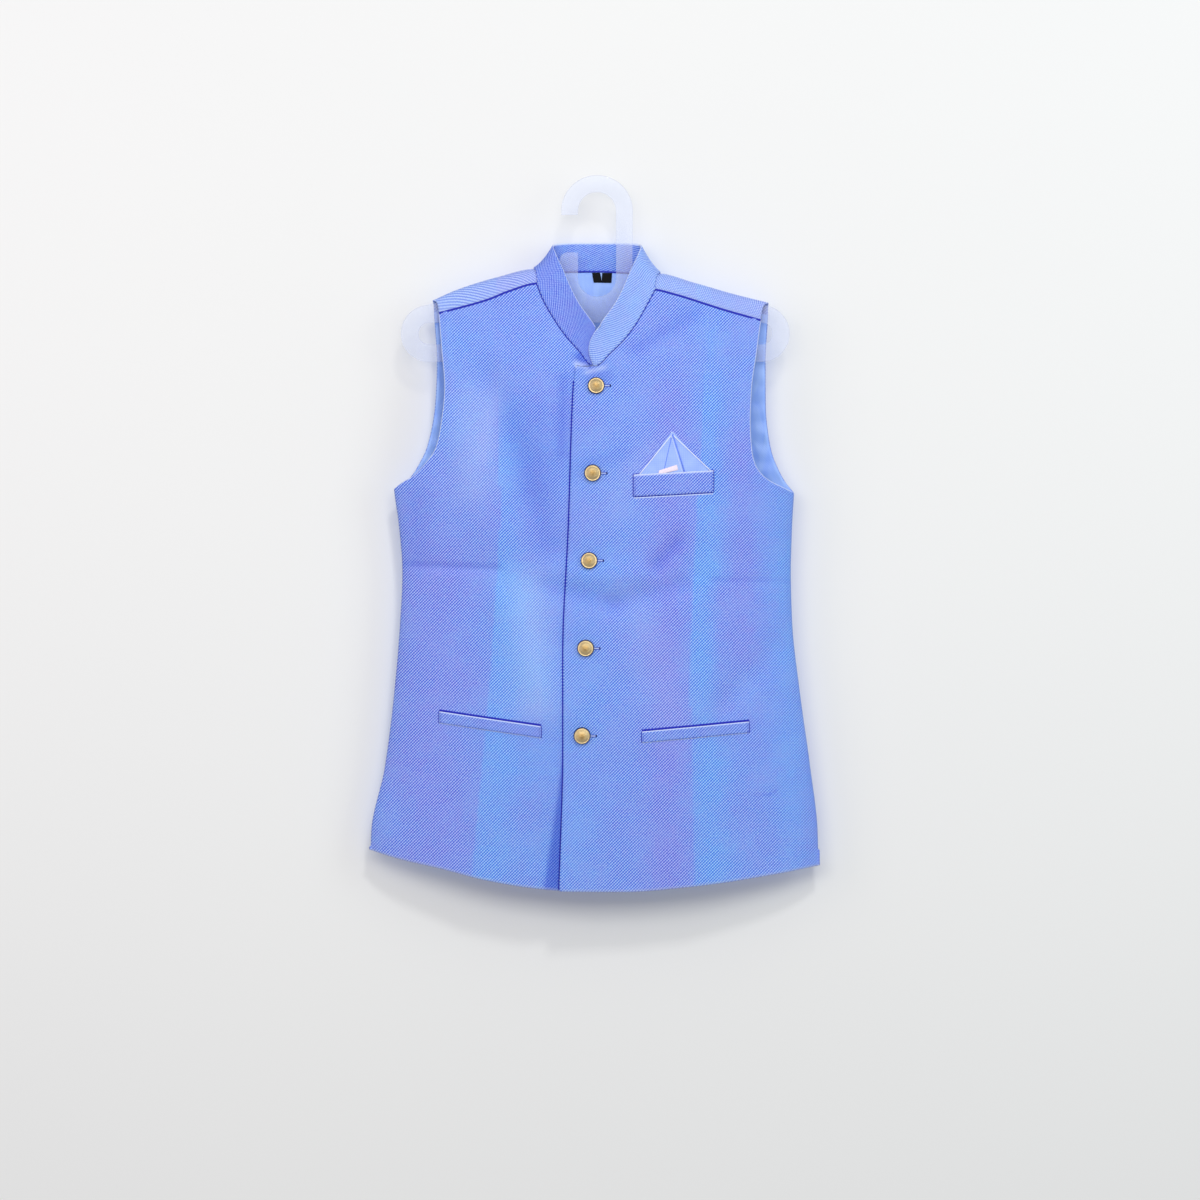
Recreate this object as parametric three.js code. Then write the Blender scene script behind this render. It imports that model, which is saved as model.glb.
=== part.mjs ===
// A sleeveless nehru jacket on its flat hanger. Millimetres, +Z up.
// The front faces -Y, and the wearer's left front, at +X, buttons over the right one.
// The origin is the top of the inside of the hanger's hook, where the hook bears on its peg.
import * as THREE from 'three';

// Walls and clearances
const CLOTH = 2;
const LINING = 1;
const GAP = 0.3;
const LAYER_STEP = CLOTH + 0.9;
const SEAM_HALF_GAP = 0.25;

// Body sections from the shoulders to the hem. Above the underarm, left and right are where
// the side seams would run on. front and back are the depths of the two panels from the seam.
const SECTIONS = [
  { z: -830, left: -260, right: 254, front: 36, back: 13, side: 7 },
  { z: -736, left: -259, right: 253, front: 38, back: 16, side: 6 },
  { z: -655, left: -243, right: 244, front: 39, back: 18, side: 5 },
  { z: -572, left: -232.5, right: 232.5, front: 40, back: 19, side: 4 },
  { z: -490, left: -225.5, right: 223.5, front: 39, back: 20, side: 3 },
  { z: -435, left: -223, right: 222, front: 38, back: 20, side: 3 },
  { z: -381, left: -227, right: 223.5, front: 39, back: 21, side: 2 },
  { z: -345, left: -232, right: 225.7, front: 39, back: 21, side: 2 },
  { z: -340, left: -232.5, right: 226, front: 39, back: 21, side: 2 },
  { z: -280, left: -224, right: 224, front: 37, back: 21, side: 1 },
  { z: -200, left: -214, right: 219, front: 30, back: 20, side: 0 },
  { z: -125, left: -208, right: 215, front: 17, back: 17, side: 0 },
  { z: -60, left: -206, right: 213, front: 13, back: 17, side: 0 },
];
const FRONT_CROWN = 2;
const BACK_CROWN = 3;
const CROWN_SHARPNESS = 0.6;

// Hem, shoulder seam and shoulder crest heights across the jacket
const HEM = [
  { x: -262, z: -752 },
  { x: -225, z: -762.5 },
  { x: -177, z: -773 },
  { x: -129, z: -785 },
  { x: -81, z: -793.5 },
  { x: -33, z: -798 },
  { x: 31, z: -798.5 },
  { x: 111, z: -792.5 },
  { x: 206, z: -779 },
  { x: 256, z: -770 },
];
const BACK_HEM_RISE = 4;
const SEAM = [
  { x: -181, z: -139 },
  { x: -124, z: -123.5 },
  { x: -100, z: -114 },
  { x: -68, z: -105.5 },
  { x: 66, z: -112.5 },
  { x: 89, z: -118 },
  { x: 147, z: -136 },
  { x: 187, z: -147 },
];
const CREST = [
  { x: -188, z: -124 },
  { x: -161, z: -112 },
  { x: -113, z: -97 },
  { x: -72, z: -88 },
  { x: 72, z: -93 },
  { x: 111, z: -103.5 },
  { x: 158, z: -117 },
  { x: 196, z: -126.5 },
];
const BACK_NECK = [
  { x: -73, z: -93 },
  { x: -40, z: -90 },
  { x: 0, z: -89.5 },
  { x: 40, z: -91.5 },
  { x: 73, z: -97.5 },
];
const NECK_HALF_WIDTH = 71;
const YOKE_FALL = 14;

// Pressed fold lines down the fronts, and how far each stands out as a ridge
const FOLD_LINES = {
  under: [
    { z: -783, x: -142 },
    { z: -502, x: -116.5 },
    { z: -388, x: -110.5 },
    { z: -119, x: -112.5 },
  ],
  over: [
    { z: -781, x: 109 },
    { z: -587, x: 106 },
    { z: -445, x: 111.5 },
    { z: -302, x: 117.5 },
    { z: -125, x: 125 },
  ],
};
const FOLD_RIDGE = [
  { z: -800, rise: 2.6 },
  { z: -450, rise: 2.2 },
  { z: -300, rise: 1.4 },
  { z: -120, rise: 0.4 },
];
const FOLD_SPREAD = 22;

// The largest soft folds of the fronts: a line, its width and how far it lies back (+) or out (-)
const SOFT_FOLDS = [
  { x0: -126, z0: -211, x1: -52, z1: -405, width: 20, back: 3.5 },
  { x0: -165, z0: -260, x1: -120, z1: -390, width: 24, back: -2 },
  { x0: -107, z0: -475, x1: -50, z1: -590, width: 22, back: -3 },
  { x0: 114, z0: -136, x1: 40, z1: -182, width: 14, back: 2.5 },
  { x0: -20, z0: -436, x1: 50, z1: -438, width: 14, back: -3 },
  { x0: -55, z0: -452, x1: 20, z1: -472, width: 13, back: 3 },
  { x0: 20, z0: -472, x1: 95, z1: -450, width: 13, back: 3 },
  { x0: 92, z0: -400, x1: 68, z1: -428, width: 11, back: 3 },
  { x0: 106, z0: -480, x1: 124, z1: -590, width: 18, back: -2 },
  { x0: 208, z0: -520, x1: 145, z1: -585, width: 18, back: 2.5 },
];

// Front edges. The hem end of the over front springs clear of the under front.
const FRONT_EDGES = {
  under: [
    { z: -800, x: -1 },
    { z: -206, x: 21.5 },
  ],
  over: [
    { z: -799, x: -42 },
    { z: -634, x: -37.5 },
    { z: -530, x: -37.5 },
    { z: -377, x: -31 },
    { z: -239, x: -26.5 },
    { z: -201, x: -24 },
  ],
};
// The side seams stay open below the top of the vents
const VENT = { top: -728, foot: -760, front: 2.5, back: 1.2 };
const EDGE_SPRING = { from: -640, to: -800, out: 5, back: 4, reach: 34 };

// Armholes, from the underarm to the shoulder, and necklines, from the corner of the front
// edge to the shoulder seam. at is the station that joins the two edges of one panel.
const ARMHOLES = {
  under: [
    { at: 0, x: -232.5, z: -340 },
    { at: 0.06, x: -223, z: -333 },
    { at: 0.13, x: -211, z: -326.5 },
    { at: 0.2, x: -201, z: -317 },
    { at: 0.28, x: -192, z: -307 },
    { at: 0.37, x: -184, z: -294 },
    { at: 0.47, x: -178.5, z: -272 },
    { at: 0.66, x: -173.5, z: -224 },
    { at: 0.83, x: -177, z: -182 },
    { at: 1, x: -180.5, z: -139 },
  ],
  over: [
    { at: 0, x: 225.7, z: -345 },
    { at: 0.06, x: 215.5, z: -340 },
    { at: 0.13, x: 201, z: -333.5 },
    { at: 0.2, x: 189, z: -325 },
    { at: 0.28, x: 180, z: -312 },
    { at: 0.37, x: 176, z: -294 },
    { at: 0.5, x: 174.5, z: -264 },
    { at: 0.66, x: 176, z: -227 },
    { at: 0.83, x: 181.5, z: -187 },
    { at: 1, x: 187, z: -147 },
  ],
  backLeft: [
    { at: 0, x: -232.5, z: -340 },
    { at: 0.13, x: -214, z: -327 },
    { at: 0.28, x: -203, z: -310 },
    { at: 0.42, x: -194, z: -290 },
    { at: 0.62, x: -185, z: -242 },
    { at: 0.83, x: -183, z: -194 },
    { at: 1, x: -186.5, z: -138 },
  ],
  backRight: [
    { at: 0, x: 225.7, z: -345 },
    { at: 0.13, x: 215.5, z: -332 },
    { at: 0.28, x: 206, z: -314 },
    { at: 0.42, x: 199, z: -294 },
    { at: 0.62, x: 193, z: -245 },
    { at: 0.83, x: 192.7, z: -196 },
    { at: 1, x: 195.5, z: -140.5 },
  ],
};
const CORNER_STATION = 0.66;
const COLLAR_STATION = 0.71;
const NECKLINES = {
  under: [
    { at: 0.66, x: 21.5, z: -206 },
    { at: 0.71, x: -4.5, z: -200.5 },
    { at: 0.77, x: -19.5, z: -183.5 },
    { at: 0.83, x: -36.5, z: -164 },
    { at: 0.89, x: -51, z: -142.5 },
    { at: 0.95, x: -62.5, z: -121.5 },
    { at: 1, x: -68.5, z: -105.5 },
  ],
  over: [
    { at: 0.66, x: -24, z: -201 },
    { at: 0.71, x: -3.5, z: -202.5 },
    { at: 0.77, x: 14.5, z: -187.5 },
    { at: 0.83, x: 31, z: -171 },
    { at: 0.89, x: 44.5, z: -152.5 },
    { at: 0.95, x: 56, z: -132 },
    { at: 1, x: 66, z: -112.5 },
  ],
};
const EDGE_AT_UNDERARM = -336;

// Stand collar: its top edge on one side, from the front end (along 0) to the centre back
const COLLAR_TOP = [
  { along: 0, x: 2, y: -30, z: -156 },
  { along: 0.13, x: 8.5, y: -28, z: -146.5 },
  { along: 0.27, x: 20, y: -24.5, z: -130.5 },
  { along: 0.4, x: 30.2, y: -19, z: -111 },
  { along: 0.5, x: 38.8, y: -13, z: -90.5 },
  { along: 0.58, x: 46, y: -6.5, z: -75 },
  { along: 0.65, x: 50, y: 1, z: -63.5 },
  { along: 0.72, x: 48.5, y: 8, z: -60 },
  { along: 0.8, x: 39, y: 13.5, z: -58 },
  { along: 0.9, x: 20, y: 17, z: -57 },
  { along: 1, x: 0, y: 18, z: -57 },
];
const COLLAR_HEIGHT_STEPS = 3;
const COLLAR_END = { bulge: 8, reach: 0.1 };

// Pockets, each by its mouth's two ends and its depth
const WELTS = [
  { name: 'breast_welt', x0: 42, z0: -325, x1: 132, z1: -320, deep: 24, wall: 2 },
  { name: 'pocket_welt_right', x0: -179.5, z0: -594.5, x1: -64, z1: -611, deep: 12, wall: 1.8 },
  { name: 'pocket_welt_left', x0: 51.5, z0: -617, x1: 173, z1: -606, deep: 11.5, wall: 1.8 },
];
const SQUARE = { left: 47, fold: 99, right: 130, apexX: 85.5, apexZ: -276, wall: 1.2 };
const STIFFENER = { x0: 70, z0: -322.2, x1: 92, z1: -317, tall: 3.6, wall: 0.8 };

// Buttons down the front, and the profile of one: radius and height above the cloth
const BUTTONS = { count: 5, x: -1, z: -223.5, shift: -4, pitch: 99.5, segments: 16 };
const BUTTON_PROFILE = [
  [0, 0], [2.5, 0], [2.5, 1.2], [8.6, 1.2], [9.3, 2], [8.9, 3.2], [6.4, 4.9], [3.2, 5.8], [0, 6],
];

// Neck label: two bare tabs on the lining, just under the collar
const LABELS = [
  { x0: -5.5, x1: 3.5 },
  { x0: 6, x1: 17 },
];
const LABEL = { top: 2, drop: 11, wall: 1 };

// Hanger: a flat plate with an open hook slot and a long bar slot
const HANGER = {
  thick: 4, hookOuter: 41, hookInner: 21.7, hookTip: -26, stubTop: -69, stubEdge: 43,
  stubRound: 9, shank: 40.5, slotFoot: -98, shoulder: -95, leftEndX: -192, rightEndX: 188,
  endZ: -162, endOuter: 32.6, endInner: 12.4,
};

const COLUMNS_TO_FOLD = [0, 0.03, 0.12, 0.32, 0.62, 1];
const COLUMNS_TO_EDGE = [0.3, 0.58, 0.82, 1];
const BODY_ROWS = 11;
const UPPER_STATIONS = [0.06, 0.13, 0.2, 0.28, 0.37, 0.47, 0.57, 0.66, 0.71, 0.77, 0.83, 0.89, 0.95, 1];
const NECK_COLUMNS = 6;
const YOKE_TURNS = [60, 30, 0, -30, -60, -90];

const finish = (color, roughness, metalness = 0) => ({ color, roughness, metalness });
const FINISHES = {
  twill: finish('#88a4ee', 0.85),
  satin: finish('#a1b9fc', 0.4),
  brass: finish('#c9a75c', 0.35, 1),
  ribbon: finish('#101014', 0.7),
  card: finish('#efe6ee', 0.8),
  frosted: finish('#eceef2', 0.3),
};

const jacket = new THREE.Group();

function addPiece(name, geometry, look) {
  const mesh = new THREE.Mesh(geometry, new THREE.MeshStandardMaterial(look));
  mesh.name = name;
  jacket.add(mesh);
  return mesh;
}

const mix = (a, b, t) => a + (b - a) * t;

function smooth(from, to, value) {
  const t = Math.min(1, Math.max(0, (value - from) / (to - from)));
  return t * t * (3 - 2 * t);
}

// A table's column at a value of its key, on a smooth curve that never overshoots its rows
function read(table, key, value, column) {
  const last = table.length - 2;
  let i = 0;
  while (i < last && value > table[i + 1][key]) i += 1;
  const width = (k) => table[k + 1][key] - table[k][key];
  const secant = (k) => (table[k + 1][column] - table[k][column]) / width(k);
  const slope = (k) => {
    if (k === 0) return secant(0);
    if (k > last) return secant(last);
    const before = secant(k - 1);
    const after = secant(k);
    if (before * after <= 0) return 0;
    const w1 = 2 * width(k) + width(k - 1);
    const w2 = width(k) + 2 * width(k - 1);
    return (w1 + w2) / (w1 / before + w2 / after);
  };
  const h = width(i);
  const t = Math.min(1, Math.max(0, (value - table[i][key]) / h));
  const t2 = t * t;
  const t3 = t2 * t;
  return (2 * t3 - 3 * t2 + 1) * table[i][column] + (t3 - 2 * t2 + t) * h * slope(i)
    + (3 * t2 - 2 * t3) * table[i + 1][column] + (t3 - t2) * h * slope(i + 1);
}

const section = (z, column) => read(SECTIONS, 'z', z, column);

// How far a panel's section has rounded out at x: 0 at the side seams and 1 in the middle
function crown(x, z, power) {
  const left = section(z, 'left');
  const right = section(z, 'right');
  const across = Math.min(1, Math.abs((2 * x - left - right) / (right - left)));
  return (1 - across ** power) ** CROWN_SHARPNESS;
}

function distanceToLine(x, z, fold) {
  const dx = fold.x1 - fold.x0;
  const dz = fold.z1 - fold.z0;
  const along = ((x - fold.x0) * dx + (z - fold.z0) * dz) / (dx * dx + dz * dz);
  const t = Math.min(1, Math.max(0, along));
  return Math.hypot(x - fold.x0 - t * dx, z - fold.z0 - t * dz);
}

function creases(x, z) {
  const side = x < 0 ? 'under' : 'over';
  const fromFold = Math.abs(x - read(FOLD_LINES[side], 'z', z, 'x'));
  let y = -read(FOLD_RIDGE, 'z', z, 'rise') * Math.exp(-fromFold / FOLD_SPREAD);
  for (const fold of SOFT_FOLDS) {
    const far = distanceToLine(x, z, fold) / fold.width;
    y += fold.back * Math.exp(-far * far);
  }
  return y;
}

// Outer faces of the panels: y at a place on the front, the under front and the back
function frontY(x, z) {
  const rounded = crown(x, z, FRONT_CROWN);
  return section(z, 'side') - section(z, 'front') * rounded + creases(x, z) * Math.min(1, 2 * rounded);
}

function spring(x, z) {
  const fromEdge = Math.abs(x - read(FRONT_EDGES.over, 'z', z, 'x'));
  return smooth(EDGE_SPRING.from, EDGE_SPRING.to, z) * Math.exp(-fromEdge / EDGE_SPRING.reach);
}

function overY(x, z) {
  return frontY(x, z) - EDGE_SPRING.out * spring(x, z);
}

function underY(x, z) {
  const edge = read(FRONT_EDGES.over, 'z', z, 'x');
  return frontY(x, z) + LAYER_STEP * smooth(edge - 32, edge - 5, x) + EDGE_SPRING.back * spring(x, z);
}

function backY(x, z) {
  return section(z, 'side') + section(z, 'back') * crown(x, z, BACK_CROWN);
}

// A closed wall behind a net of outer points. hold turns a point's normal where the wall ends
// square to a seam, and inset starts the wall below the net.
function wallOf(points, quads, thick, hold = () => {}, inset = 0) {
  const normals = points.map(() => new THREE.Vector3());
  for (const quad of quads) {
    const [a, b, c, d] = quad.map((i) => points[i]);
    const normal = new THREE.Vector3().subVectors(c, a).cross(new THREE.Vector3().subVectors(d, b));
    quad.forEach((i) => normals[i].add(normal));
  }
  normals.forEach((normal, i) => {
    hold(i, normal);
    normal.normalize();
  });
  const outer = points.map((point, i) => point.clone().addScaledVector(normals[i], -inset));
  const inner = points.map((point, i) => point.clone().addScaledVector(normals[i], -inset - thick));
  const n = points.length;
  const faces = [];
  const edges = new Map();
  for (const [a, b, c, d] of quads) {
    faces.push([a, b, c], [a, c, d], [a + n, c + n, b + n], [a + n, d + n, c + n]);
    for (const [from, to] of [[a, b], [b, c], [c, d], [d, a]]) {
      if (edges.has(`${to}_${from}`)) edges.delete(`${to}_${from}`);
      else edges.set(`${from}_${to}`, [from, to]);
    }
  }
  for (const [from, to] of edges.values()) {
    faces.push([to, from, from + n], [to, from + n, to + n]);
  }
  const geometry = new THREE.BufferGeometry();
  geometry.setFromPoints([...outer, ...inner]);
  geometry.setIndex(faces.flat());
  geometry.computeVertexNormals();
  return geometry;
}

// The quads of a net of rows that all have the same number of columns
function netQuads(rows, columns, flip = false, first = 0) {
  const quads = [];
  for (let r = 0; r < rows - 1; r += 1) {
    for (let c = 0; c < columns - 1; c += 1) {
      const a = first + r * columns + c;
      const quad = [a, a + 1, a + columns + 1, a + columns];
      quads.push(flip ? quad.reverse() : quad);
    }
  }
  return quads;
}

// The side and armhole edge, and the front and neckline edge, of one front.
// Height runs from 0 at the hem to 1 at the underarm and 2 at the shoulder seam.
function outerEdge(side, height) {
  const armhole = ARMHOLES[side];
  const bodySide = side === 'over' || side === 'backRight' ? 'right' : 'left';
  if (height > 1) {
    return { x: read(armhole, 'at', height - 1, 'x'), z: read(armhole, 'at', height - 1, 'z') };
  }
  const hem = read(HEM, 'x', section(HEM[0].z, bodySide), 'z');
  const z = mix(hem, armhole[0].z, height);
  return { x: section(z, bodySide), z };
}

function innerEdge(side, height) {
  const edge = FRONT_EDGES[side];
  const corner = NECKLINES[side][0];
  if (height > 1 + CORNER_STATION) {
    const neck = NECKLINES[side];
    return { x: read(neck, 'at', height - 1, 'x'), z: read(neck, 'at', height - 1, 'z') };
  }
  const hem = read(HEM, 'x', edge[0].x, 'z');
  const z = height > 1
    ? mix(EDGE_AT_UNDERARM, corner.z, (height - 1) / CORNER_STATION)
    : mix(hem, EDGE_AT_UNDERARM, height);
  return { x: read(edge, 'z', z, 'x'), z };
}

// Columns across a front: the place in the panel, 0 to 1 to its fold line and 1 to 2 to its edge
const FRONT_COLUMNS = [...COLUMNS_TO_FOLD, ...COLUMNS_TO_EDGE.map((c) => 1 + c)];

function frontPlace(side, column, height) {
  const outer = outerEdge(side, height);
  const inner = innerEdge(side, height);
  const across = column / 2;
  const level = mix(outer.z, inner.z, across);
  const foldX = read(FOLD_LINES[side], 'z', level, 'x');
  const x = column < 1 ? mix(outer.x, foldX, column) : mix(foldX, inner.x, column - 1);
  const atHem = read(HEM, 'x', x, 'z') - mix(outerEdge(side, 0).z, innerEdge(side, 0).z, across);
  const atSeam = read(SEAM, 'x', x, 'z') - mix(outerEdge(side, 2).z, innerEdge(side, 2).z, across);
  const toHem = Math.max(0, 1 - height) ** 2;
  const toSeam = Math.max(0, height - 1) ** 4;
  return { x, z: level + atHem * toHem + atSeam * toSeam };
}

const HEIGHTS = [
  ...Array.from({ length: BODY_ROWS + 1 }, (_, i) => i / BODY_ROWS),
  ...UPPER_STATIONS.map((at) => 1 + at),
];

function addFront(name, side, depth) {
  const width = FRONT_COLUMNS.length;
  const points = [];
  for (const height of HEIGHTS) {
    for (const column of FRONT_COLUMNS) {
      const { x, z } = frontPlace(side, column, height);
      const onSeam = height === 2;
      const onSide = column === 0 && height <= 1;
      const apart = SEAM_HALF_GAP + VENT.front * smooth(VENT.top, VENT.foot, z);
      points.push(new THREE.Vector3(
        x,
        depth(x, z) - (onSide ? apart : 0),
        z - (onSeam ? SEAM_HALF_GAP : 0),
      ));
    }
  }
  const lastRow = (HEIGHTS.length - 1) * width;
  const hold = (i, normal) => {
    if (i % width === 0 && i / width <= BODY_ROWS) normal.set(Math.sign(normal.x), 0, 0);
    if (i >= lastRow) normal.setZ(0);
  };
  const quads = netQuads(HEIGHTS.length, width, side === 'over');
  addPiece(name, wallOf(points, quads, CLOTH, hold), FINISHES.twill);
  return HEIGHTS
    .map((height, r) => ({ height, point: points[r * width + width - 1] }))
    .filter((row) => row.height >= 1 + COLLAR_STATION);
}

// The back: a net from side to side up to the back of the shoulders, and a yoke on each side
// that turns over the crest and comes down to the front's shoulder seam.
const BACK_HEIGHTS = [
  ...Array.from({ length: BODY_ROWS + 1 }, (_, i) => i / BODY_ROWS),
  1.13, 1.28, 1.42, 1.55, 1.68, 1.83, 2,
];

function shoulderFractions(side) {
  const top = FRONT_COLUMNS.map((column) => frontPlace(side, column, 2).x);
  return top.map((x) => (x - top[0]) / (top[top.length - 1] - top[0]));
}

function backTop(x) {
  const neck = read(BACK_NECK, 'x', x, 'z');
  const shoulder = read(CREST, 'x', x, 'z') - YOKE_FALL;
  return mix(neck, shoulder, smooth(NECK_HALF_WIDTH, NECK_HALF_WIDTH + 60, Math.abs(x)));
}

function backColumns() {
  const left = outerEdge('backLeft', 2).x;
  const right = outerEdge('backRight', 2).x;
  const neckSteps = Array.from({ length: NECK_COLUMNS - 1 }, (_, i) => (i + 1) / NECK_COLUMNS);
  const tops = [
    ...shoulderFractions('under').map((f) => mix(left, -NECK_HALF_WIDTH, f)),
    ...neckSteps.map((f) => mix(-NECK_HALF_WIDTH, NECK_HALF_WIDTH, f)),
    ...shoulderFractions('over').reverse().map((f) => mix(right, NECK_HALF_WIDTH, f)),
  ];
  return tops.map((x) => (x - left) / (right - left));
}

const BACK_COLUMNS = backColumns();

function backPlace(across, height) {
  const left = outerEdge('backLeft', height);
  const right = outerEdge('backRight', height);
  const x = mix(left.x, right.x, across);
  const rise = BACK_HEM_RISE * Math.sin(Math.PI * across);
  const hemZ = mix(outerEdge('backLeft', 0).z, outerEdge('backRight', 0).z, across);
  const topZ = mix(outerEdge('backLeft', 2).z, outerEdge('backRight', 2).z, across);
  const atHem = (read(HEM, 'x', x, 'z') + rise - hemZ) * Math.max(0, 1 - height) ** 2;
  const atTop = (backTop(x) - topZ) * Math.max(0, height - 1) ** 2;
  return { x, z: mix(left.z, right.z, across) + atHem + atTop };
}

function yokePoint(side, fraction, degrees) {
  const sign = side === 'under' ? -1 : 1;
  const turn = THREE.MathUtils.degToRad(degrees);
  const back = outerEdge(side === 'under' ? 'backLeft' : 'backRight', 2).x;
  const tipCrest = sign < 0 ? CREST[0].x : CREST[CREST.length - 1].x;
  const seam = frontPlace(side, 0, 2).x;
  const neckSeam = frontPlace(side, 2, 2).x;
  const over = Math.abs(Math.sin(turn));
  const tip = mix(tipCrest, degrees > 0 ? back : seam, over);
  const neck = mix(sign * (NECK_HALF_WIDTH + 1), degrees > 0 ? sign * NECK_HALF_WIDTH : neckSeam, over);
  const x = mix(tip, neck, fraction);
  const crest = read(CREST, 'x', x, 'z');
  const foot = degrees > 0 ? backTop(x) : read(SEAM, 'x', x, 'z');
  const footY = degrees > 0 ? backY(x, foot) : frontY(x, foot);
  return new THREE.Vector3(x, footY * over, mix(crest, foot, 1 - Math.cos(turn)));
}

function addBack() {
  const width = BACK_COLUMNS.length;
  const points = [];
  for (const height of BACK_HEIGHTS) {
    BACK_COLUMNS.forEach((across, c) => {
      const { x, z } = backPlace(across, height);
      const onSide = (c === 0 || c === width - 1) && height <= 1;
      const apart = SEAM_HALF_GAP + VENT.back * smooth(VENT.top, VENT.foot, z);
      points.push(new THREE.Vector3(x, backY(x, z) + (onSide ? apart : 0), z));
    });
  }
  const quads = netQuads(BACK_HEIGHTS.length, width, true);
  const liningQuads = netQuads(BACK_HEIGHTS.length - 1, width, true, width);
  const topRow = (BACK_HEIGHTS.length - 1) * width;
  const seamPoints = new Set();
  const necks = {};
  for (const side of ['under', 'over']) {
    const fractions = shoulderFractions(side);
    const start = side === 'under' ? topRow : topRow + width - fractions.length;
    const order = side === 'under' ? fractions : [...fractions].reverse();
    let below = order.map((_, c) => start + c);
    const neckColumn = side === 'under' ? order.length - 1 : 0;
    necks[side] = [points[below[neckColumn]]];
    for (const degrees of YOKE_TURNS) {
      const row = order.map((fraction) => {
        const point = yokePoint(side, fraction, degrees);
        if (degrees === -90) point.z += SEAM_HALF_GAP;
        points.push(point);
        if (degrees === -90) seamPoints.add(points.length - 1);
        return points.length - 1;
      });
      for (let c = 0; c < row.length - 1; c += 1) {
        quads.push([row[c], row[c + 1], below[c + 1], below[c]]);
      }
      necks[side].unshift(points[row[neckColumn]]);
      below = row;
    }
  }
  const hold = (i, normal) => {
    const column = i % width;
    const onSide = column === 0 || column === width - 1;
    if (onSide && i < topRow && i / width < BODY_ROWS + 1) normal.set(Math.sign(normal.x), 0, 0);
    if (seamPoints.has(i)) normal.setZ(0);
  };
  addPiece('back', wallOf(points, quads, CLOTH, hold), FINISHES.twill);
  const liningPoints = points.slice(0, topRow + width);
  const lining = wallOf(liningPoints, liningQuads, LINING, hold, CLOTH + GAP);
  addPiece('back_lining', lining, FINISHES.satin);
  const neckLine = points.slice(topRow + FRONT_COLUMNS.length, topRow + width - FRONT_COLUMNS.length);
  return { necks, neckLine };
}

// The collar stands on the neckline's own points, in order from the over end to the under end
function addCollar(overRows, underRows, back) {
  const base = [
    ...overRows.map((row) => row.point),
    ...back.necks.over.slice(1),
    ...[...back.neckLine].reverse(),
    ...[...back.necks.under].reverse().slice(0, -1),
    ...[...underRows].reverse().map((row) => row.point),
  ];
  const lengths = [0];
  for (let i = 1; i < base.length; i += 1) {
    lengths.push(lengths[i - 1] + base[i].distanceTo(base[i - 1]));
  }
  const middle = lengths[lengths.length - 1] / 2;
  const points = [];
  for (let step = 0; step <= COLLAR_HEIGHT_STEPS; step += 1) {
    const up = step / COLLAR_HEIGHT_STEPS;
    base.forEach((foot, i) => {
      const isOver = lengths[i] < middle;
      const along = isOver ? lengths[i] / middle : 2 - lengths[i] / middle;
      const top = new THREE.Vector3(
        read(COLLAR_TOP, 'along', along, 'x') * (isOver ? 1 : -1),
        read(COLLAR_TOP, 'along', along, 'y') + (isOver ? 0 : LAYER_STEP * smooth(0.5, 0, along)),
        read(COLLAR_TOP, 'along', along, 'z'),
      );
      const point = foot.clone().lerp(top, up);
      if (step === 0) point.addScaledVector(top.sub(foot).normalize(), 2 * GAP);
      if (isOver) point.x -= COLLAR_END.bulge * Math.sin(Math.PI * up) * smooth(COLLAR_END.reach, 0, along);
      points.push(point);
    });
  }
  const quads = netQuads(COLLAR_HEIGHT_STEPS + 1, base.length, true);
  addPiece('collar', wallOf(points, quads, CLOTH), FINISHES.twill);
}

// A flat piece that lies on a panel: its corners in order, on the panel's points moved out.
// columns are the places along it, and rows are the steps up it.
function layOn(depth, corners, columns, rows, thick, lift) {
  const [a, b, c, d] = corners;
  const points = [];
  for (let r = 0; r <= rows; r += 1) {
    for (const t of columns) {
      const low = { x: mix(a.x, b.x, t), z: mix(a.z, b.z, t) };
      const high = { x: mix(d.x, c.x, t), z: mix(d.z, c.z, t) };
      const x = mix(low.x, high.x, r / rows);
      const z = mix(low.z, high.z, r / rows);
      points.push(new THREE.Vector3(x, depth(x, z) - lift - thick, z));
    }
  }
  const hold = (i, normal) => normal.set(0, -1, 0);
  return wallOf(points, netQuads(rows + 1, columns.length), thick, hold);
}

function addWelts() {
  for (const welt of WELTS) {
    const side = welt.x0 < 0 ? 'under' : 'over';
    const depth = side === 'under' ? underY : overY;
    const foldX = read(FOLD_LINES[side], 'z', welt.z0, 'x');
    const fold = (foldX - welt.x0) / (welt.x1 - welt.x0);
    const columns = [0, 0.33, 0.67, 1].flatMap((t) => [fold * t, mix(fold, 1, t)]).sort((p, q) => p - q);
    const corners = [
      { x: welt.x0, z: welt.z0 - welt.deep },
      { x: welt.x1, z: welt.z1 - welt.deep },
      { x: welt.x1, z: welt.z1 },
      { x: welt.x0, z: welt.z0 },
    ];
    const geometry = layOn(depth, corners, [...new Set(columns)], 1, welt.wall, 2 * GAP);
    addPiece(welt.name, geometry, FINISHES.twill);
  }
}

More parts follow.
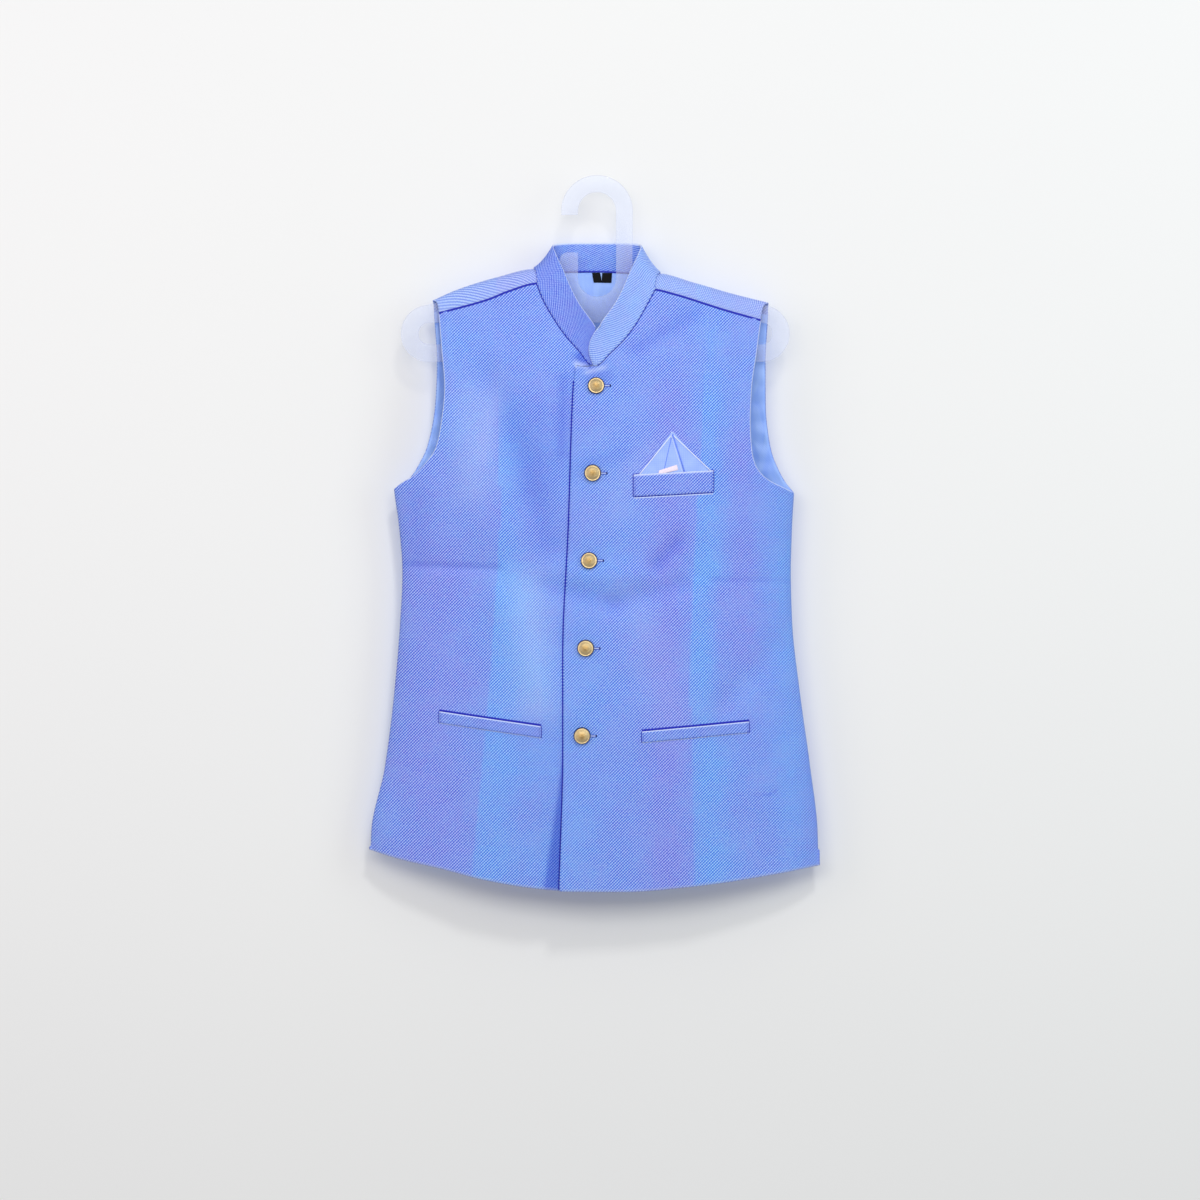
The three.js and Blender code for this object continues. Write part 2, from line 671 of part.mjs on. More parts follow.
// A folded pocket square above the breast welt: the two faces meet along a fold from the point
function addPocketSquare() {
  const welt = WELTS[0];
  const mouth = (x) => mix(welt.z0, welt.z1, (x - welt.x0) / (welt.x1 - welt.x0)) + GAP;
  const tip = 0.6;
  const parts = [
    { name: 'pocket_square_left', from: SQUARE.left, to: SQUARE.fold - GAP, peak: -tip - GAP / 2 },
    { name: 'pocket_square_right', from: SQUARE.fold, to: SQUARE.right, peak: GAP / 2 },
  ];
  for (const part of parts) {
    const corners = [
      { x: part.from, z: mouth(part.from) },
      { x: part.to, z: mouth(part.to) },
      { x: SQUARE.apexX + part.peak + tip, z: SQUARE.apexZ },
      { x: SQUARE.apexX + part.peak, z: SQUARE.apexZ },
    ];
    const geometry = layOn(overY, corners, [0, 0.5, 1], 3, SQUARE.wall, 2 * GAP);
    addPiece(part.name, geometry, FINISHES.twill);
  }
  const { x0, z0, x1, z1, tall, wall } = STIFFENER;
  const corners = [{ x: x0, z: z0 }, { x: x1, z: z1 }, { x: x1, z: z1 + tall }, { x: x0, z: z0 + tall }];
  const lift = SQUARE.wall + 4 * GAP;
  addPiece('pocket_stiffener', layOn(overY, corners, [0, 0.5, 1], 1, wall, lift), FINISHES.card);
}

function addButtons() {
  const profile = BUTTON_PROFILE.map(([radius, height]) => new THREE.Vector2(radius, height));
  const up = new THREE.Vector3(0, 1, 0);
  for (let i = 0; i < BUTTONS.count; i += 1) {
    const x = BUTTONS.x + BUTTONS.shift * i;
    const z = BUTTONS.z - BUTTONS.pitch * i;
    const slopeX = (overY(x + 9, z) - overY(x - 9, z)) / 18;
    const slopeZ = (overY(x, z + 9) - overY(x, z - 9)) / 18;
    const outward = new THREE.Vector3(slopeX, -1, slopeZ).normalize();
    const geometry = new THREE.LatheGeometry(profile, BUTTONS.segments);
    const button = addPiece(`button_${i + 1}`, geometry, FINISHES.brass);
    button.quaternion.setFromUnitVectors(up, outward);
    button.position.set(x, overY(x, z), z).addScaledVector(outward, 3 * GAP);
  }
}

function addLabels() {
  const inset = CLOTH + LINING + 3 * GAP;
  LABELS.forEach(({ x0, x1 }, i) => {
    const top = read(BACK_NECK, 'x', (x0 + x1) / 2, 'z') - LABEL.top;
    const low = top - LABEL.drop;
    const corners = [{ x: x0, z: low }, { x: x1, z: low }, { x: x1, z: top }, { x: x0, z: top }];
    const geometry = layOn(backY, corners, [0, 1], 2, LABEL.wall, inset);
    addPiece(`neck_label_${i + 1}`, geometry, FINISHES.ribbon);
  });
}

// The hanger's outline runs round the outside, through the open hook and back
function addHanger() {
  const h = HANGER;
  const hookZ = -h.hookInner;
  const touch = (endX, corner) => {
    const rise = h.endZ - h.shoulder;
    const run = Math.abs(endX) - corner;
    return Math.PI / 2 + Math.atan2(rise, run) + Math.asin(h.endOuter / Math.hypot(run, rise));
  };
  const shape = new THREE.Shape();
  shape.moveTo(h.leftEndX, h.endZ - h.endOuter);
  shape.lineTo(h.rightEndX, h.endZ - h.endOuter);
  shape.absarc(h.rightEndX, h.endZ, h.endOuter, -Math.PI / 2, touch(h.rightEndX, h.shank), false);
  shape.lineTo(h.shank, h.shoulder);
  shape.lineTo(h.shank, hookZ);
  shape.absarc(0, hookZ, h.hookOuter, 0, Math.PI, false);
  shape.lineTo(-h.hookOuter, h.hookTip);
  shape.lineTo(-h.hookInner, h.hookTip);
  shape.absarc(0, hookZ, h.hookInner, Math.PI, 0, true);
  shape.lineTo(h.hookInner, h.slotFoot);
  shape.absarc(0, h.slotFoot, h.hookInner, 0, -Math.PI, true);
  shape.lineTo(-h.hookInner, h.stubTop);
  shape.lineTo(-h.stubEdge + h.stubRound, h.stubTop);
  shape.absarc(-h.stubEdge + h.stubRound, h.stubTop - h.stubRound, h.stubRound, Math.PI / 2, Math.PI, false);
  shape.lineTo(-h.stubEdge, h.shoulder);
  const leftTouch = Math.PI - touch(h.leftEndX, h.stubEdge);
  shape.absarc(h.leftEndX, h.endZ, h.endOuter, leftTouch, Math.PI * 1.5, false);
  const slot = new THREE.Path();
  slot.moveTo(h.leftEndX, h.endZ + h.endInner);
  slot.absarc(h.leftEndX, h.endZ, h.endInner, Math.PI / 2, Math.PI * 1.5, false);
  slot.lineTo(h.rightEndX, h.endZ - h.endInner);
  slot.absarc(h.rightEndX, h.endZ, h.endInner, -Math.PI / 2, Math.PI / 2, false);
  shape.holes.push(slot);
  const settings = { depth: h.thick, bevelEnabled: false, curveSegments: 14 };
  const geometry = new THREE.ExtrudeGeometry(shape, settings);
  geometry.rotateX(Math.PI / 2);
  geometry.translate(0, h.thick / 2, 0);
  addPiece('hanger', geometry, FINISHES.frosted);
}

const overRows = addFront('front_left', 'over', overY);
const underRows = addFront('front_right', 'under', underY);
const back = addBack();
addCollar(overRows, underRows, back);
addWelts();
addPocketSquare();
addButtons();
addLabels();
addHanger();

export default jacket;
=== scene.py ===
import math

import bpy
import numpy as np
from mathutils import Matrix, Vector


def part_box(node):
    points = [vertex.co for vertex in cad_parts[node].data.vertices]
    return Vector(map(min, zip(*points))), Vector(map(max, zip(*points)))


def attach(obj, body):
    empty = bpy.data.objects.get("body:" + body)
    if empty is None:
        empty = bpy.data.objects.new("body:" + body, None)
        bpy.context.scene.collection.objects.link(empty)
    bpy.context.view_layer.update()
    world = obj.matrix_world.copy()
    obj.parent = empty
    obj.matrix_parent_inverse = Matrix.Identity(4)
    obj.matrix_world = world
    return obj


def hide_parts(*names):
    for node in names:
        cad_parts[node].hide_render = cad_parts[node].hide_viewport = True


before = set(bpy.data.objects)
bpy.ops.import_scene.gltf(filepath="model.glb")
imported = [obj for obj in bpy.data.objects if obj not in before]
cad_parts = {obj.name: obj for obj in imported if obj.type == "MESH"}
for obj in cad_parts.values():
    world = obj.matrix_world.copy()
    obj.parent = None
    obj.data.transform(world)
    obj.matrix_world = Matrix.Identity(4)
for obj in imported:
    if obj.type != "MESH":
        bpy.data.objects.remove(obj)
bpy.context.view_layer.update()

mm = 0.001  # the tables below are in millimetres, and every mesh is in metres
print("frame:", len(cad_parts), "pieces")


def mix(a, b, t):
    return a + (b - a) * t


def smooth(start, end, value):
    t = np.clip((value - start) / (end - start), 0, 1)
    return t * t * (3 - 2 * t)


def read(table, key, value, column):  # a smooth curve through a table that never overshoots its rows
    at, out = np.array(table[key], float), np.array(table[column], float)
    step = np.diff(at)
    secant = np.diff(out) / step
    slope = np.zeros_like(out)
    slope[0], slope[-1] = secant[0], secant[-1]
    before, after = secant[:-1], secant[1:]
    same = before * after > 0
    w1, w2 = (2 * step[1:] + step[:-1])[same], (step[1:] + 2 * step[:-1])[same]
    slope[1:-1][same] = (w1 + w2) / (w1 / before[same] + w2 / after[same])
    value = np.asarray(value, float)
    i = np.clip(np.searchsorted(at, value) - 1, 0, len(step) - 1)
    h = step[i]
    t = np.clip((value - at[i]) / h, 0, 1)
    t2, t3 = t * t, t * t * t
    start = (2 * t3 - 3 * t2 + 1) * out[i] + (t3 - 2 * t2 + t) * h * slope[i]
    return start + (3 * t2 - 2 * t3) * out[i + 1] + (t3 - t2) * h * slope[i + 1]


def strokes(table, x, z):  # soft strokes, each a line with a width and an amount, added up
    total = np.zeros_like(x)
    columns = (table[key] for key in ("x0", "z0", "x1", "z1", "width", "amount"))
    for x0, z0, x1, z1, width, amount in zip(*columns):
        dx, dz = x1 - x0, z1 - z0
        along = np.clip(((x - x0) * dx + (z - z0) * dz) / (dx * dx + dz * dz), 0, 1)
        far = np.hypot(x - x0 - along * dx, z - z0 - along * dz) / width
        total = total + amount * np.exp(-far * far)
    return total


def columnsOf(names, rows):  # a table written row by row, kept column by column
    return dict(zip(names.split(), zip(*rows)))


def waver(x, z, seed, size):  # an uneven surface: slow ripples of about that size, from -1 to 1
    draw = np.random.RandomState(seed)
    waves = 9
    total = np.zeros_like(x)
    for _ in range(waves):
        turn, phase = draw.uniform(0, math.tau), draw.uniform(0, math.tau)
        reach = size * draw.uniform(0.7, 1.8)
        total = total + np.sin((x * math.cos(turn) + z * math.sin(turn)) * math.tau / reach + phase)
    return total / math.sqrt(waves * 2)


body = {
    "sections": columnsOf("z left right front back side", [
        (-830, -260, 254, 36, 13, 7),
        (-736, -259, 253, 38, 16, 6),
        (-655, -243, 244, 39, 18, 5),
        (-572, -232.5, 232.5, 40, 19, 4),
        (-490, -225.5, 223.5, 39, 20, 3),
        (-435, -223, 222, 38, 20, 3),
        (-381, -227, 223.5, 39, 21, 2),
        (-345, -232, 225.7, 39, 21, 2),
        (-340, -232.5, 226, 39, 21, 2),
        (-280, -224, 224, 37, 21, 1),
        (-200, -214, 219, 30, 20, 0),
        (-125, -208, 215, 17, 17, 0),
        (-60, -206, 213, 13, 17, 0),
    ]),
    "frontCrown": 2,
    "backCrown": 3,
    "crownSharpness": 0.6,
    "hem": columnsOf("x z", [
        (-262, -752), (-225, -762.5), (-177, -773), (-129, -785), (-81, -793.5),
        (-33, -798), (31, -798.5), (111, -792.5), (206, -779), (256, -770),
    ]),
    "backHemRise": 4,
    "seam": columnsOf("x z", [
        (-181, -139), (-124, -123.5), (-100, -114), (-68, -105.5),
        (66, -112.5), (89, -118), (147, -136), (187, -147),
    ]),
    "crest": columnsOf("x z", [
        (-188, -124), (-161, -112), (-113, -97), (-72, -88),
        (72, -93), (111, -103.5), (158, -117), (196, -126.5),
    ]),
    "backNeck": columnsOf("x z", [(-73, -93), (-40, -90), (0, -89.5), (40, -91.5), (73, -97.5)]),
    "neckHalfWidth": 71,
    "yokeFall": 14,
    "cloth": 1.8,
    "lining": 0.8,
    "gap": 0.3,
    "layerStep": 2.9,
    "seamHalfGap": 0.3,
}
foldLines = {
    "under": columnsOf("z x", [(-783, -142), (-502, -116.5), (-388, -110.5), (-119, -112.5)]),
    "over": columnsOf("z x", [(-781, 109), (-587, 106), (-445, 111.5), (-302, 117.5), (-125, 125)]),
}
foldRidge = columnsOf("z rise", [(-800, 2.6), (-450, 2.2), (-300, 1.4), (-120, 0.4)])
foldSpread = 22
frontWaver = {"amount": 0.22, "size": 46}
buttonDip = {"depth": 1.1, "wide": 15, "high": 12}
softFolds = columnsOf("x0 z0 x1 z1 width amount", [
    (-126, -211, -52, -405, 20, 3.5),
    (-165, -260, -120, -390, 24, -2),
    (-107, -475, -50, -590, 22, -3),
    (114, -136, 40, -182, 14, 2.5),
    (-20, -436, 50, -438, 14, -3),
    (-55, -452, 20, -472, 13, 3),
    (20, -472, 95, -450, 13, 3),
    (92, -400, 68, -428, 11, 3),
    (106, -480, 124, -590, 18, -2),
    (208, -520, 145, -585, 18, 2.5),
])
frontEdges = {
    "under": columnsOf("z x", [(-800, -1), (-206, 21.5)]),
    "over": columnsOf("z x", [
        (-799, -42), (-634, -37.5), (-530, -37.5), (-377, -31), (-239, -26.5), (-201, -24),
    ]),
}
vent = {"top": -728, "foot": -760, "front": 2.5, "back": 1.2}
edgeSpring = {"start": -640, "end": -800, "out": 5, "back": 4, "reach": 34}
armholes = {
    "under": columnsOf("at x z", [
        (0, -232.5, -340), (0.06, -223, -333), (0.13, -211, -326.5), (0.2, -201, -317), (0.28, -192, -307),
        (0.37, -184, -294), (0.47, -178.5, -272), (0.66, -173.5, -224), (0.83, -177, -182), (1, -180.5, -139),
    ]),
    "over": columnsOf("at x z", [
        (0, 225.7, -345), (0.06, 215.5, -340), (0.13, 201, -333.5), (0.2, 189, -325), (0.28, 180, -312),
        (0.37, 176, -294), (0.5, 174.5, -264), (0.66, 176, -227), (0.83, 181.5, -187), (1, 187, -147),
    ]),
    "backLeft": columnsOf("at x z", [
        (0, -232.5, -340), (0.13, -214, -327), (0.28, -203, -310), (0.42, -194, -290),
        (0.62, -185, -242), (0.83, -183, -194), (1, -186.5, -138),
    ]),
    "backRight": columnsOf("at x z", [
        (0, 225.7, -345), (0.13, 215.5, -332), (0.28, 206, -314), (0.42, 199, -294),
        (0.62, 193, -245), (0.83, 192.7, -196), (1, 195.5, -140.5),
    ]),
}
cornerStation = 0.66
collarStation = 0.71
necklines = {
    "under": columnsOf("at x z", [
        (0.66, 21.5, -206), (0.71, -4.5, -200.5), (0.77, -19.5, -183.5), (0.83, -36.5, -164),
        (0.89, -51, -142.5), (0.95, -62.5, -121.5), (1, -68.5, -105.5),
    ]),
    "over": columnsOf("at x z", [
        (0.66, -24, -201), (0.71, -3.5, -202.5), (0.77, 14.5, -187.5), (0.83, 31, -171),
        (0.89, 44.5, -152.5), (0.95, 56, -132), (1, 66, -112.5),
    ]),
}
edgeAtUnderarm = -336
cornerZ = {"under": -206, "over": -201}


def section(z, column):
    return read(body["sections"], "z", z, column)


def crown(x, z, power):  # how far a panel has rounded out: 0 at the side seams and 1 in the middle
    left, right = section(z, "left"), section(z, "right")
    across = np.minimum(1, np.abs((2 * x - left - right) / (right - left)))
    return (1 - across ** power) ** body["crownSharpness"]


# Smaller folds than the frame's: pressed lines across the waist, pulls at the buttons and at the armholes
fineFolds = columnsOf("x0 z0 x1 z1 width amount", [
    (-222, -428, -113, -433, 5, 1.5),
    (-222, -424, -113, -428, 12, 0.6),
    (129, -444, 222, -446, 5, 0.8),
    (-115, -132, -136, -160, 8, 0.9),
    (-207, -352, -206, -420, 15, 1.2),
    (-110, -436, -99, -466, 4, 0.9),
    (98, -420, 116, -440, 5, 1.1),
    (112, -446, 104, -470, 4, -0.8),
    (177, -692, 195, -690, 1.4, 0.4),
    (195, -690, 207, -683, 1.4, 0.4),
    (-165, -700, -150, -740, 16, 0.9),
    (-231, -680, -226, -720, 12, 1.0),
    (191, -720, 200, -760, 14, 0.9),
    (-30, -330, -80, -300, 12, 0.7),
    (-32, -520, -90, -505, 12, 0.6),
    (150, -250, 168, -300, 10, 0.8),
    (-150, -250, -172, -320, 9, 0.8),
    (20, -215, 60, -235, 10, 0.7),
    (-25, -195, -6, -204, 5, 1.6),
    (30, -560, 90, -545, 14, 0.8),
    (10, -660, 80, -640, 16, 0.7),
    (-90, -640, -70, -760, 12, 0.8),
    (40, -700, 34, -790, 12, 0.8),
    (150, -640, 160, -770, 14, 0.8),
])


def creases(x, z):
    foldX = np.where(x < 0, read(foldLines["under"], "z", z, "x"), read(foldLines["over"], "z", z, "x"))
    y = -read(foldRidge, "z", z, "rise") * np.exp(-np.abs(x - foldX) / foldSpread)
    y = y + strokes(softFolds, x, z) + strokes(fineFolds, x, z)
    return y + frontWaver["amount"] * waver(x, z, 4, frontWaver["size"])


buttonPlaces = [
    (Vector(low) + Vector(high)) / 2 / mm
    for low, high in (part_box(f"button_{i}") for i in range(1, 6))
]


def frontY(x, z):
    rounded = crown(x, z, body["frontCrown"])
    y = section(z, "side") - section(z, "front") * rounded + creases(x, z) * np.minimum(1, 2 * rounded)
    for place in buttonPlaces:  # the cloth dips a little round each shank
        across, up = (x - place.x) / buttonDip["wide"], (z - place.z) / buttonDip["high"]
        y = y + buttonDip["depth"] * np.exp(-(across ** 2 + up ** 2))
    return y


def spring(x, z):
    away = np.abs(x - read(frontEdges["over"], "z", z, "x"))
    return smooth(edgeSpring["start"], edgeSpring["end"], z) * np.exp(-away / edgeSpring["reach"])


def overY(x, z):
    return frontY(x, z) - edgeSpring["out"] * spring(x, z)


def underY(x, z):
    edge = read(frontEdges["over"], "z", z, "x")
    tucked = body["layerStep"] * smooth(edge - 32, edge - 5, x)
    return frontY(x, z) + tucked + edgeSpring["back"] * spring(x, z)


def backY(x, z):
    return section(z, "side") + section(z, "back") * crown(x, z, body["backCrown"])


def outerEdge(side, height):  # height runs from 0 at the hem to 1 at the underarm and 2 at the shoulder
    armhole = armholes[side]
    bodySide = "right" if side in ("over", "backRight") else "left"
    hem = read(body["hem"], "x", section(body["hem"]["z"][0], bodySide), "z")
    low = mix(hem, armhole["z"][0], np.minimum(height, 1))
    up = np.maximum(height - 1, 0)
    x = np.where(height > 1, read(armhole, "at", up, "x"), section(low, bodySide))
    z = np.where(height > 1, read(armhole, "at", up, "z"), low)
    return x, z


def innerEdge(side, height):
    edge, neck = frontEdges[side], necklines[side]
    hem = read(body["hem"], "x", edge["x"][0], "z")
    up = np.maximum(height - 1, 0)
    z = np.where(
        height > 1,
        mix(edgeAtUnderarm, cornerZ[side], np.minimum(up / cornerStation, 1)),
        mix(hem, edgeAtUnderarm, np.minimum(height, 1)),
    )
    x = read(edge, "z", z, "x")
    onNeck = up > cornerStation
    return np.where(onNeck, read(neck, "at", up, "x"), x), np.where(onNeck, read(neck, "at", up, "z"), z)


# column runs from 0 at the side to 1 on the fold line and 2 at the front edge
def frontPlace(side, column, height):
    outX, outZ = outerEdge(side, height)
    inX, inZ = innerEdge(side, height)
    across = column / 2
    level = mix(outZ, inZ, across)
    foldX = read(foldLines[side], "z", level, "x")
    x = np.where(column < 1, mix(outX, foldX, column), mix(foldX, inX, column - 1))
    hemOut, hemIn = outerEdge(side, 0 * height)[1], innerEdge(side, 0 * height)[1]
    topOut, topIn = outerEdge(side, 0 * height + 2)[1], innerEdge(side, 0 * height + 2)[1]
    atHem = read(body["hem"], "x", x, "z") - mix(hemOut, hemIn, across)
    atSeam = read(body["seam"], "x", x, "z") - mix(topOut, topIn, across)
    return x, level + atHem * np.maximum(0, 1 - height) ** 2 + atSeam * np.maximum(0, height - 1) ** 4


def addObject(name, data):
    made = bpy.data.objects.new(name, data)
    bpy.context.scene.collection.objects.link(made)
    return made


def makeMesh(name, points, faces, materials, picks=None, uvs=None, fields=None):
    mesh = bpy.data.meshes.new(name)
    mesh.from_pydata((np.asarray(points) * mm).tolist(), [], faces)
    for material in materials:
        mesh.materials.append(material)
    if picks is not None:
        mesh.polygons.foreach_set("material_index", np.asarray(picks, np.int32))
    if uvs is not None:
        corners = np.empty(len(mesh.loops), np.int32)
        mesh.loops.foreach_get("vertex_index", corners)
        layer = mesh.uv_layers.new(name="cloth")
        layer.data.foreach_set("uv", (np.asarray(uvs)[corners] * mm).ravel())
    for field, values in (fields or {}).items():
        layer = mesh.attributes.new(field, "FLOAT", "POINT")
        layer.data.foreach_set("value", np.asarray(values, np.float32))
    mesh.shade_smooth()
    mesh.update()
    return addObject(name, mesh)


def normalsOf(points, quads):
    cross = np.cross(points[quads[:, 2]] - points[quads[:, 0]], points[quads[:, 3]] - points[quads[:, 1]])
    normals = np.zeros_like(points)
    for corner in range(4):
        np.add.at(normals, quads[:, corner], cross)
    return normals


def unit(vectors):
    return vectors / np.maximum(np.linalg.norm(vectors, axis=1, keepdims=True), 1e-9)


def netQuads(rows, columns, flip=False):
    r, c = np.meshgrid(np.arange(rows - 1), np.arange(columns - 1), indexing="ij")
    a = (r * columns + c).ravel()
    quads = np.stack([a, a + 1, a + columns + 1, a + columns], 1)
    return quads[:, ::-1] if flip else quads


rimRoll = 0.45  # how far a cut edge rounds out, as a share of the cloth's thickness


# Cloth with a thickness: outer and inner faces, and a rolled edge between them.
# Its field "rim" is a painted highlight: how pale it is drawn, most along the rolled edge, plus the field
# "light" where the cloth catches the light.
def makeWall(name, points, quads, thick, materials, uvs, fields, inset=0, hold=None, rimGlow=0.55):
    normals = normalsOf(points, quads)
    if hold is not None:
        hold(normals)
    normals = unit(normals)
    outer = points - normals * inset
    inner = outer - normals * thick
    count = len(points)
    edges = np.concatenate([quads[:, [0, 1]], quads[:, [1, 2]], quads[:, [2, 3]], quads[:, [3, 0]]])
    codes = edges[:, 0] * count + edges[:, 1]
    rim = edges[~np.isin(edges[:, 1] * count + edges[:, 0], codes)]
    away = np.zeros_like(points)
    sides = unit(np.cross(points[rim[:, 1]] - points[rim[:, 0]], normals[rim[:, 0]]))
    np.add.at(away, rim[:, 0], sides)
    np.add.at(away, rim[:, 1], sides)
    rimPoints = np.unique(rim)
    middle = (outer + inner)[rimPoints] / 2 + unit(away[rimPoints]) * rimRoll * thick
    place = np.zeros(count, int)
    place[rimPoints] = 2 * count + np.arange(len(rimPoints))
    a, b = rim[:, 0], rim[:, 1]
    ring = np.concatenate([
        np.stack([b, a, place[a], place[b]], 1),
        np.stack([place[b], place[a], a + count, b + count], 1),
    ])
    faces = np.concatenate([quads, quads[:, ::-1] + count, ring])
    picks = np.zeros(len(faces), int)
    picks[len(quads):2 * len(quads)] = len(materials) - 1
    both = np.concatenate([uvs, uvs, uvs[rimPoints]])
    values = {key: np.concatenate([f, f, f[rimPoints]]) for key, f in fields.items() if key != "light"}
    light = np.zeros(count) + fields.get("light", 0)
    glow = light.copy()
    glow[rimPoints] += (np.zeros(count) + rimGlow)[rimPoints]
    values["rim"] = np.clip(np.concatenate([glow, light, glow[rimPoints]]), 0, 1)
    wall = np.concatenate([outer, inner, middle])
    return makeMesh(name, wall, faces.tolist(), materials, picks, both, values)


def flatUvs(net):  # places on the cloth, in millimetres, as seen from the front or from behind
    return net[..., [0, 2]].reshape(-1, 2)


def addPiece(piece, nodes):
    if nodes:
        piece.name = nodes[0] + "_piece"
    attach(piece, "root")
    if nodes:
        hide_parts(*nodes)
    return piece


def linear(colour):
    parts = [int(colour[i:i + 2], 16) / 255 for i in (1, 3, 5)]
    return tuple(p / 12.92 if p <= 0.04045 else ((p + 0.055) / 1.055) ** 2.4 for p in parts) + (1,)


def addNode(tree, kind, inputs=None, **settings):
    node = tree.nodes.new(kind)
    for key, value in settings.items():
        setattr(node, key, value)
    for key, value in (inputs or {}).items():
        if isinstance(value, bpy.types.NodeSocket):
            tree.links.new(value, node.inputs[key])
        else:
            node.inputs[key].default_value = value
    return node


def newMaterial(name):
    material = bpy.data.materials.new(name)
    material.use_nodes = True
    material.node_tree.nodes.clear()
    return material, material.node_tree


def finishMaterial(material, shader):
    addNode(material.node_tree, "ShaderNodeOutputMaterial", {"Surface": shader.outputs[0]})
    return material


def waveScale(pitch):  # the Wave node's scale for bands that many millimetres apart
    return math.tau / 20 / (pitch * mm)


def noiseScale(size):
    return 1 / (size * mm)


# Polyester twill, woven and pressed: matt diagonal ribs of pale and deep yarn with a faint sheen.
# Real ribs are about 1.7 mm apart, and they are drawn at the pitch below so that they show.
twillLook = {
    "ribPitch": 2.5,
    "yarnPitch": 2.4,
    "slub": 2.2,  # size of the uneven places along a yarn
    "blotch": 9,  # size of the blotches of colour
    "patch": 38,  # size of the patches where the ribs show more
    "turn": 45,
    "contrast": 1.0,
    "warmDark": "#4455d4", "warmLight": "#b4c0fb",
    "coolDark": "#2a70e6", "coolLight": "#a4d3fc",
    "shade": "#7f94e6",  # what deep shade takes from the cloth's colour
    "edge": "#dbe6ff",  # painted highlight: the pale colour laid along turned edges and where the cloth catches the light
    "roughness": 0.72,
    "sheen": 0.12,
}
collarLook = {**twillLook, "ribPitch": 2.2, "yarnPitch": 2.0, "patch": 12, "turn": -66, "contrast": 0.9}


def twillMaterial(name, look):
    material, tree = newMaterial(name)
    uv = addNode(tree, "ShaderNodeUVMap", uv_map="cloth").outputs[0]
    bias = addNode(tree, "ShaderNodeMapping", {
        "Vector": uv, "Rotation": (0, 0, math.radians(look["turn"])),
    }).outputs[0]
    ribs = addNode(tree, "ShaderNodeTexWave", {
        "Vector": bias, "Scale": waveScale(look["ribPitch"]),
        "Distortion": 0.5, "Detail": 1.0, "Detail Scale": 2.0,
    }, bands_direction="X").outputs["Fac"]
    yarns = addNode(tree, "ShaderNodeTexWave", {
        "Vector": bias, "Scale": waveScale(look["yarnPitch"]),
        "Distortion": 1.2, "Detail": 1.0, "Detail Scale": 3.0,
    }, bands_direction="Y").outputs["Fac"]
    slub, patch, blotch = (
        addNode(tree, "ShaderNodeTexNoise", {
            "Vector": uv, "Scale": noiseScale(look[size]), "Detail": detail,
        }).outputs["Fac"]
        for size, detail in (("slub", 1.0), ("patch", 2.0), ("blotch", 2.0))
    )
    tone, shade, rim = (
        addNode(tree, "ShaderNodeAttribute", attribute_name=field).outputs["Fac"]
        for field in ("tone", "shade", "rim")
    )
    # the weave's relief: ribs cut across by yarns, a little uneven
    cut = addNode(tree, "ShaderNodeMath", {0: yarns, 1: 0.6, 2: 0.4}, operation="MULTIPLY_ADD").outputs[0]
    ribYarn = addNode(tree, "ShaderNodeMath", {0: ribs, 1: cut}, operation="MULTIPLY").outputs[0]
    uneven = addNode(tree, "ShaderNodeMath", {0: slub, 1: 0.5, 2: -0.25}, operation="MULTIPLY_ADD").outputs[0]
    relief = addNode(tree, "ShaderNodeMath", {0: ribYarn, 1: uneven}, operation="ADD").outputs[0]
    # pale yarn on the ribs and deep yarn between them, more in some patches than in others
    depth = addNode(tree, "ShaderNodeMapRange", {
        "Value": patch, "From Min": 0.35, "From Max": 0.65,
        "To Min": look["contrast"], "To Max": 2.0 * look["contrast"],
    }).outputs[0]
    centred = addNode(tree, "ShaderNodeMath", {
        0: relief, 1: 1.0, 2: -0.37,
    }, operation="MULTIPLY_ADD").outputs[0]
    weave = addNode(tree, "ShaderNodeMath", {
        0: centred, 1: depth, 2: 0.5,
    }, operation="MULTIPLY_ADD", use_clamp=True).outputs[0]
    cloud = addNode(tree, "ShaderNodeMath", {0: blotch, 1: 0.6, 2: -0.3}, operation="MULTIPLY_ADD").outputs[0]
    hue = addNode(tree, "ShaderNodeMath", {0: cloud, 1: tone}, operation="ADD", use_clamp=True).outputs[0]
    dark = addNode(tree, "ShaderNodeMix", {
        0: hue, 6: linear(look["warmDark"]), 7: linear(look["coolDark"]),
    }, data_type="RGBA").outputs[2]
    light = addNode(tree, "ShaderNodeMix", {
        0: hue, 6: linear(look["warmLight"]), 7: linear(look["coolLight"]),
    }, data_type="RGBA").outputs[2]
    cloth = addNode(tree, "ShaderNodeMix", {0: weave, 6: dark, 7: light}, data_type="RGBA").outputs[2]
    deep = addNode(tree, "ShaderNodeMix", {
        0: 1.0, 6: cloth, 7: linear(look["shade"]),
    }, data_type="RGBA", blend_type="MULTIPLY").outputs[2]
    within = addNode(tree, "ShaderNodeClamp", {"Value": shade}).outputs[0]
    shaded = addNode(tree, "ShaderNodeMix", {0: within, 6: cloth, 7: deep}, data_type="RGBA").outputs[2]
    # painted highlight: the field "rim" pales the cloth along its turned edges and where it catches the light
    colour = addNode(tree, "ShaderNodeMix", {
        0: rim, 6: shaded, 7: linear(look["edge"]),
    }, data_type="RGBA").outputs[2]
    bump = addNode(tree, "ShaderNodeBump", {"Height": relief, "Strength": 0.35, "Distance": 0.4 * mm})
    shader = addNode(tree, "ShaderNodeBsdfPrincipled", {
        "Base Color": colour, "Roughness": look["roughness"], "Sheen Weight": look["sheen"],
        "Sheen Roughness": 0.4, "Specular IOR Level": 0.25, "Normal": bump.outputs[0],
    })
    return finishMaterial(material, shader)


# Polyester satin lining, woven smooth: soft broad highlights along small wrinkles
satinLook = {
    "pale": "#b0d2ff", "deep": "#6c9aff", "roughness": 0.34,
    "wrinkle": 16, "stretch": 0.35, "threadPitch": 1.4,
}


